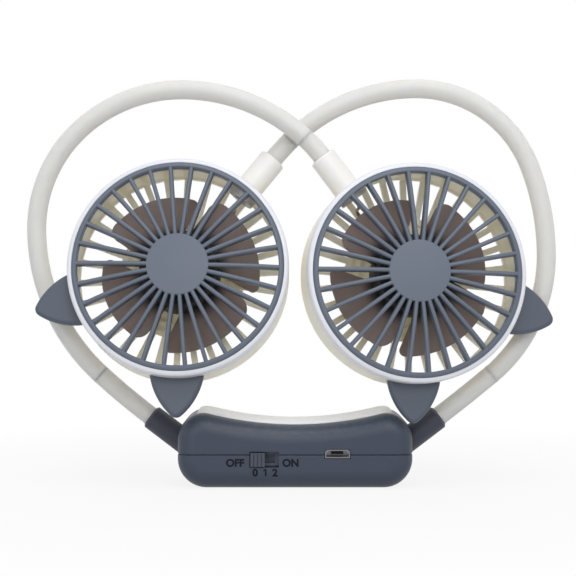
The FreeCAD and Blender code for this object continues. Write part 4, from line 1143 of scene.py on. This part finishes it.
    def flat_label(self, text: str) -> bmesh.types.BMesh:
        """Make the flat outline of one word or digit, on the origin and facing +Z.

        Args:
            text: The word or digit.

        Returns:
            The flat faces.
        """
        build = bmesh.new()
        if text == "1":
            for corners in self.DIGIT_ONE:
                points = [(a * self.letter_height, b * self.letter_height, 0) for a, b in corners]
                build.faces.new([build.verts.new(point) for point in points])
            return build
        curve = bpy.data.curves.new(f"print_{text}", "FONT")
        curve.body = text
        curve.align_x = "CENTER"
        curve.size = self.letter_height / self.capital_share
        curve.offset = self.letter_weight
        flat = baked_mesh(in_scene("carrier", curve))
        bpy.data.curves.remove(curve)
        build.from_mesh(flat)
        bpy.data.meshes.remove(flat)
        return build

    def build_label(self, text: str, x: float, z: float, shell: BVHTree) -> None:
        """Print one word or digit on the front of the shell.

        Args:
            text: The word or digit.
            x: Middle of the text.
            z: Middle of the capitals' height.
            shell: Surface that the print lies on.
        """
        build = self.flat_label(text)
        bmesh.ops.remove_doubles(build, verts=build.verts, dist=WELD_GAP)
        foot = Matrix.Translation((x, -self.depth, z - self.letter_height / 2))
        bmesh.ops.transform(build, matrix=foot @ Matrix.Rotation(math.pi / 2, 4, "X"), verts=build.verts)
        height = z - self.letter_height
        while height < z + self.letter_height:
            parts = [*build.verts, *build.edges, *build.faces]
            bmesh.ops.bisect_plane(build, geom=parts, plane_co=(0, 0, height), plane_no=(0, 0, 1))
            height += self.letter_cut
        for vertex in build.verts:
            hit = shell.ray_cast(vertex.co, Vector((0, 1, 0)))[0]
            vertex.co.y = hit.y - self.letter_proud
        thicken(build, 2 * self.letter_proud)
        mesh = mesh_from(build, "print")
        piece = new_piece(f"print_{text.lower()}", mesh, LABEL_INK, smooth=False)
        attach(piece, "battery_box")

    def build_corners(self) -> None:
        """Fill the upper corners that the shell's mouth leaves beside the socket's chamfers."""
        low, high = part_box("charging_socket")
        front = low.y - self.socket_recess / 2
        foot, roof = high.z - self.socket_chamfer, high.z + self.mouth_gap
        build = bmesh.new()
        for side, edge in ((-1, low.x), (1, high.x)):
            outer, inner = edge + side * self.mouth_gap, edge - side * self.socket_chamfer
            outline = ((outer, foot), (edge, foot), (inner, high.z), (inner, roof), (outer, roof))
            build.faces.new([build.verts.new((x, front, z)) for x, z in outline])
        thicken(build, self.mouth_depth)
        mesh = mesh_from(build, "corners")
        piece = new_piece("socket_corners", mesh, BOX_PLASTIC, smooth=False)
        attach(piece, "battery_box")

    def build_contacts(self) -> None:
        """Set the row of gold contacts on the socket's tongue."""
        low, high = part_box("socket_tongue")
        middle = (low + high) / 2
        start = middle.x - self.contact_pitch * (self.contact_count - 1) / 2
        y = low.y + self.contact_length / 2
        z = low.z - self.contact_height / 2
        seed = bpy.data.meshes.new("row")
        seed.from_pydata([(start + i * self.contact_pitch, y, z) for i in range(self.contact_count)], [], [])
        mesh = grown_mesh(seed, row_tree(), {
            "Material": CONTACT_GOLD.material(), "Width": self.contact_width, "Length": self.contact_length,
            "Height": self.contact_height})
        piece = new_piece("socket_contacts", mesh, CONTACT_GOLD, smooth=False)
        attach(piece, "battery_box")

    def build(self) -> None:
        """Dress the box's nodes and build its soft and printed pieces."""
        for node, finish in self.FINISHES.items():
            dress(node, finish)
        self.build_pad()
        build = bmesh.new()
        for node in ("outer_shell", "neck_side_shell"):
            build.from_mesh(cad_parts[node].data)
        shell = BVHTree.FromBMesh(build)
        build.free()
        for text, (x, z) in self.LABELS.items():
            self.build_label(text, x, z, shell)
        self.build_corners()
        self.build_contacts()


@dataclass
class FanHead:
    """One fan head: bezel, grille, vented housing, ears, impeller and motor.

    Attributes:
        side: Side that the head hangs on.
        place: Place of the head, its Z out of the grille and its Y towards the collar.
        grille_turn: Angle of the grille about the head's axis, in degrees.
        disc_radius: Radius of the grille's centre disc.
        rise: Height of the disc above the bezel.
        rim_radius: Outer radius of the grille's rim.
        rim_width: Width of the rim.
        rim_top: Height of the rim's inner edge above the bezel.
        rim_fall: How far the rim's rounded face falls to its outer edge.
        rim_seat: Depth of the rim's seat in the bezel.
        dome: Radius of the spokes' curve.
        hub_depth: Depth of the impeller's middle behind the bezel's front, where the painted shade centres.
        spoke_count: Number of spokes.
        spoke_width: Width of a spoke.
        spoke_depth: Depth of a spoke.
        spoke_round: Radius of a spoke's long edges.
        spoke_sink: How far a spoke reaches into the rim.
        disc_depth: Thickness of the disc.
        edge_round: Radius of the disc's edge and of the rim's inner edge.
        round_steps: Steps round each rounded edge.
        turn_steps: Faces round the rim and the disc.
        arc_steps: Points along a spoke.
        corner_steps: Points round a spoke's long edges.
    """

    side: Side
    place: Matrix
    grille_turn: float
    disc_radius: float = 0.0096
    rise: float = 0.0026
    rim_radius: float = 0.0327
    rim_width: float = 0.0016
    rim_top: float = 0.0009
    rim_fall: float = 0.0009
    rim_seat: float = 0.002
    dome: float = 0.095
    hub_depth: float = 0.009
    spoke_count: int = 30
    spoke_width: float = 0.0013
    spoke_depth: float = 0.0036
    spoke_round: float = 0.0006
    spoke_sink: float = 0.0001
    disc_depth: float = 0.0024
    edge_round: float = 0.0003
    round_steps: int = 6
    turn_steps: int = 180
    arc_steps: int = 14
    corner_steps: int = 3

    FINISHES = {
        "bezel": BEZEL_WHITE, "rear_housing": HOUSING_WHITE, "collar": COLLAR_WHITE,
        "outer_ear": EAR_PLASTIC, "lower_ear": EAR_PLASTIC, "shaft": MOTOR_STEEL,
        "motor_can": MOTOR_STEEL, "motor_end_bell": SWITCH_PLASTIC, "motor_bush": BUSH_BRASS,
        "motor_leads": LEAD_TAN,
    }

    @property
    def rim_inner(self) -> float:
        """Inner radius of the grille's rim."""
        return self.rim_radius - self.rim_width

    def rounded(self, centre: Pair, reach: Pair) -> list[Pair]:
        """Quarter of an ellipse from its outermost to its topmost point.

        Args:
            centre: Radius and height of its centre.
            reach: How far it reaches outwards and upwards.

        Returns:
            Radius and height of each point.
        """
        turns = [math.pi / 2 * index / self.round_steps for index in range(self.round_steps + 1)]
        return [(centre[0] + reach[0] * math.cos(a), centre[1] + reach[1] * math.sin(a)) for a in turns]

    def spoke_point(self, radius: float) -> Vector:
        """Point on the middle line of the spoke that lies along X.

        Args:
            radius: Distance of the point from the head's axis.

        Returns:
            The point, in the head's own frame.
        """
        run, drop = self.rim_inner - self.disc_radius, self.rise - self.rim_top
        chord = math.hypot(run, drop)
        stand = math.sqrt(self.dome ** 2 - chord ** 2 / 4)
        centre_x = (self.rim_inner + self.disc_radius) / 2 - stand * drop / chord
        centre_z = (self.rise + self.rim_top) / 2 - stand * run / chord
        inner = self.dome - self.spoke_depth / 2
        return Vector((radius, 0, centre_z + math.sqrt(inner ** 2 - (radius - centre_x) ** 2)))

    def build_grille(self) -> None:
        """Build the domed grille: rounded rim, flat disc and curved spokes with soft edges."""
        inner, soft = self.rim_inner, self.edge_round
        rim = [(inner, -self.rim_seat), (self.rim_radius, -self.rim_seat)]
        crown = (inner + soft, self.rim_top - self.rim_fall)
        rim += self.rounded(crown, (self.rim_width - soft, self.rim_fall))
        rim.append((inner, self.rim_top - soft))
        under = self.rise - self.disc_depth
        disc = [(0.0, under), (self.disc_radius, under)]
        disc += self.rounded((self.disc_radius - soft, self.rise - soft), (soft, soft))
        disc.append((0.0, self.rise))
        build = bmesh.new()
        lathe(build, rim, self.turn_steps)
        lathe(build, disc, self.turn_steps)
        bmesh.ops.recalc_face_normals(build, faces=build.faces)
        mesh = grown_mesh(mesh_from(build, "rim"), spokes_tree(), {
            "Material": LIT_GRILLE_PLASTIC.material(), "Count": self.spoke_count,
            "Start": self.spoke_point(self.disc_radius - self.disc_depth),
            "Middle": self.spoke_point((self.disc_radius + inner) / 2),
            "End": self.spoke_point(inner + self.spoke_sink),
            "Width": self.spoke_width, "Depth": self.spoke_depth, "Round": self.spoke_round,
            "Arc Steps": self.arc_steps, "Corner Steps": self.corner_steps})
        turn = math.pi / 2 + math.pi / self.spoke_count + math.radians(self.grille_turn)
        mesh.transform(self.place @ Matrix.Rotation(turn, 4, "Z"))
        grille = new_piece(f"{self.side.word}_spoked_grille", mesh, LIT_GRILLE_PLASTIC)
        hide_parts(f"{self.side.word}_grille")
        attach(grille, f"{self.side.word}_head")

    def build(self) -> None:
        """Dress the head's nodes and build its grille."""
        word = self.side.word
        for part, finish in self.FINISHES.items():
            dress(f"{word}_{part}", finish)
        # The impeller darkens towards its middle: painted shade for the shade behind the grille's disc.
        hub = self.place @ Vector((0, 0, -self.hub_depth))
        painted_shade_blades = replace(IMPELLER_PLASTIC, name=f"{word}_{IMPELLER_PLASTIC.name}", core=tuple(hub))
        dress(f"{word}_impeller", painted_shade_blades)
        self.build_grille()


@dataclass(frozen=True)
class Lamp:
    """One soft lamp, aimed at the middle of the object.

    Attributes:
        place: Where it hangs.
        size: Width of its round face.
        power: Its power in watts.
    """

    place: Triple
    size: float
    power: float


@dataclass
class Studio:
    """Pale floor, white surroundings, soft lamps and the camera of the photograph.

    Attributes:
        camera_place: Where the camera stands.
        focal_pixels: Focal length in pixels of the picture.
        picture_pixels: Width of the picture in pixels.
        sensor: Width of the camera's sensor in millimetres.
        clip: Nearest and farthest distance that the camera sees.
        floor_half: Half the floor's width.
        floor_glow: Share of plain white in the floor under the object.
        floor_tones: Darkest and palest tone of the floor.
        floor_cloud: Scale of the drift between the tones.
        shadow_reach: Distances from the middle where the shadow starts to fade and where it ends.
        ambient: Strength of the surrounding light.
        aim: Point that the lamps are aimed at.
        lamps: The soft lamps.
    """

    camera_place: Triple = (-0.0022, -0.48, 0.062)
    focal_pixels: float = 1508.0
    picture_pixels: float = 576.0
    sensor: float = 36.0
    clip: Pair = (0.01, 200.0)
    floor_half: float = 30.0
    floor_glow: float = 0.86
    floor_tones: Pair = (0.68, 0.72)
    floor_cloud: float = 3.0
    shadow_reach: Pair = (0.06, 0.22)
    ambient: float = 0.62
    aim: Triple = (0.0, 0.0, 0.06)
    lamps: tuple[Lamp, ...] = (
        Lamp((0.25, -0.9, 0.6), 0.5, 2.8),
        Lamp((-0.35, -0.9, 0.25), 0.5, 1.2),
        Lamp((0.05, -0.4, 1.0), 0.6, 2.9),
    )

    def build_camera(self) -> None:
        """Stand the camera where the photograph was taken from."""
        data = bpy.data.cameras.new("camera")
        data.sensor_width = self.sensor
        data.lens = self.focal_pixels / self.picture_pixels * self.sensor
        data.clip_start, data.clip_end = self.clip
        camera = in_scene("camera", data)
        camera.location = self.camera_place
        camera.rotation_euler = (math.pi / 2, 0, 0)
        bpy.context.scene.camera = camera

    def seen_directly(self, wiring: Wiring) -> Socket:
        """Mask of rays from the camera, a reflection or a see-through surface.

        Args:
            wiring: Wiring of the material or the world.

        Returns:
            The mask.
        """
        path = wiring.add("ShaderNodeLightPath")
        either = wiring.math("MAXIMUM", path.outputs["Is Camera Ray"], path.outputs["Is Glossy Ray"])
        return wiring.math("MAXIMUM", either, path.outputs["Is Transmission Ray"])

    def build_world(self) -> None:
        """Surround the object with even light that the camera sees as white."""
        world = bpy.data.worlds.new("surroundings")
        world.use_nodes = True
        wiring = Wiring(world.node_tree)
        strength = wiring.span(self.seen_directly(wiring), target=(self.ambient, 1.0))
        light = wiring.add("ShaderNodeBackground", Color=(1, 1, 1, 1), Strength=strength)
        wiring.add("ShaderNodeOutputWorld", Surface=light.outputs[0])
        bpy.context.scene.world = world

    def floor_material(self) -> bpy.types.Material:
        """Material of the floor: matt to the light, nearly white to the camera."""
        material = bpy.data.materials.new("pale_floor")
        material.use_nodes = True
        wiring = Wiring(material.node_tree)
        place = wiring.place()
        low, high = self.floor_tones
        tone = wiring.mix(wiring.noise(place, self.floor_cloud), (low, low, low, 1), (high, high, high, 1))
        matt = wiring.add("ShaderNodeBsdfDiffuse", Color=tone)
        glow = wiring.add("ShaderNodeEmission", Color=(1, 1, 1, 1), Strength=1.0)
        away = wiring.add("ShaderNodeVectorMath", {"operation": "LENGTH"}, Vector=place).outputs["Value"]
        fade = wiring.span(away, self.shadow_reach, (self.floor_glow, 1.0))
        both = wiring.add("ShaderNodeMixShader")
        share = wiring.math("MULTIPLY", self.seen_directly(wiring), fade)
        for socket, value in zip(both.inputs, (share, matt.outputs[0], glow.outputs[0])):
            wiring.feed(socket, value)
        wiring.add("ShaderNodeOutputMaterial", Surface=both.outputs[0])
        return material

    def build_floor(self) -> None:
        """Lay the pale floor, which keeps a soft shadow."""
        mesh = bpy.data.meshes.new("floor")
        half = self.floor_half
        corners = [(-half, -half, 0), (half, -half, 0), (half, half, 0), (-half, half, 0)]
        mesh.from_pydata(corners, [], [(0, 1, 2, 3)])
        mesh.materials.append(self.floor_material())
        floor = in_scene("floor", mesh)

    def build_lamps(self) -> None:
        """Hang the soft lamps."""
        for index, lamp in enumerate(self.lamps):
            data = bpy.data.lights.new(f"soft_lamp_{index}", "AREA")
            data.shape = "DISK"
            data.size = lamp.size
            data.energy = lamp.power
            hung = in_scene(data.name, data)
            hung.location = lamp.place
            way = Vector(self.aim) - Vector(lamp.place)
            hung.rotation_euler = way.to_track_quat("-Z", "Y").to_euler()

    def build(self) -> None:
        """Build the camera, the surroundings, the floor and the lamps."""
        self.build_camera()
        self.build_world()
        self.build_floor()
        self.build_lamps()
        bpy.context.scene.view_settings.view_transform = "Standard"


def main() -> None:
    """Build every sub-assembly, then the studio round it."""
    BatteryBox().build()
    arms = (
        Arm(Side.LEFT, root_radius=0.2303, root_turn=5.1, low_radius=0.06223, side_radius=0.04306,
            side_turn=51.71, shoulder_radius=0.048013, end_radius=0.057772, end_turn=52.95, tip_turn=10.31,
            head_bend=2.2, lean=3.2, head_swivel=9.9),
        Arm(Side.RIGHT, root_radius=0.4648, root_turn=2.6, low_radius=0.0492, side_radius=0.07973,
            side_turn=20.99, shoulder_radius=0.038604, end_radius=0.057131, end_turn=50.9, tip_turn=5.99,
            head_bend=8.3, lean=0.7, head_swivel=6.8),
    )
    grille_turns = (-1.85, 1.5)
    for arm, grille_turn in zip(arms, grille_turns):
        arm.build()
        FanHead(arm.side.far, arm.head_place(), grille_turn).build()
    Studio().build()


if __name__ == "__main__":
    main()
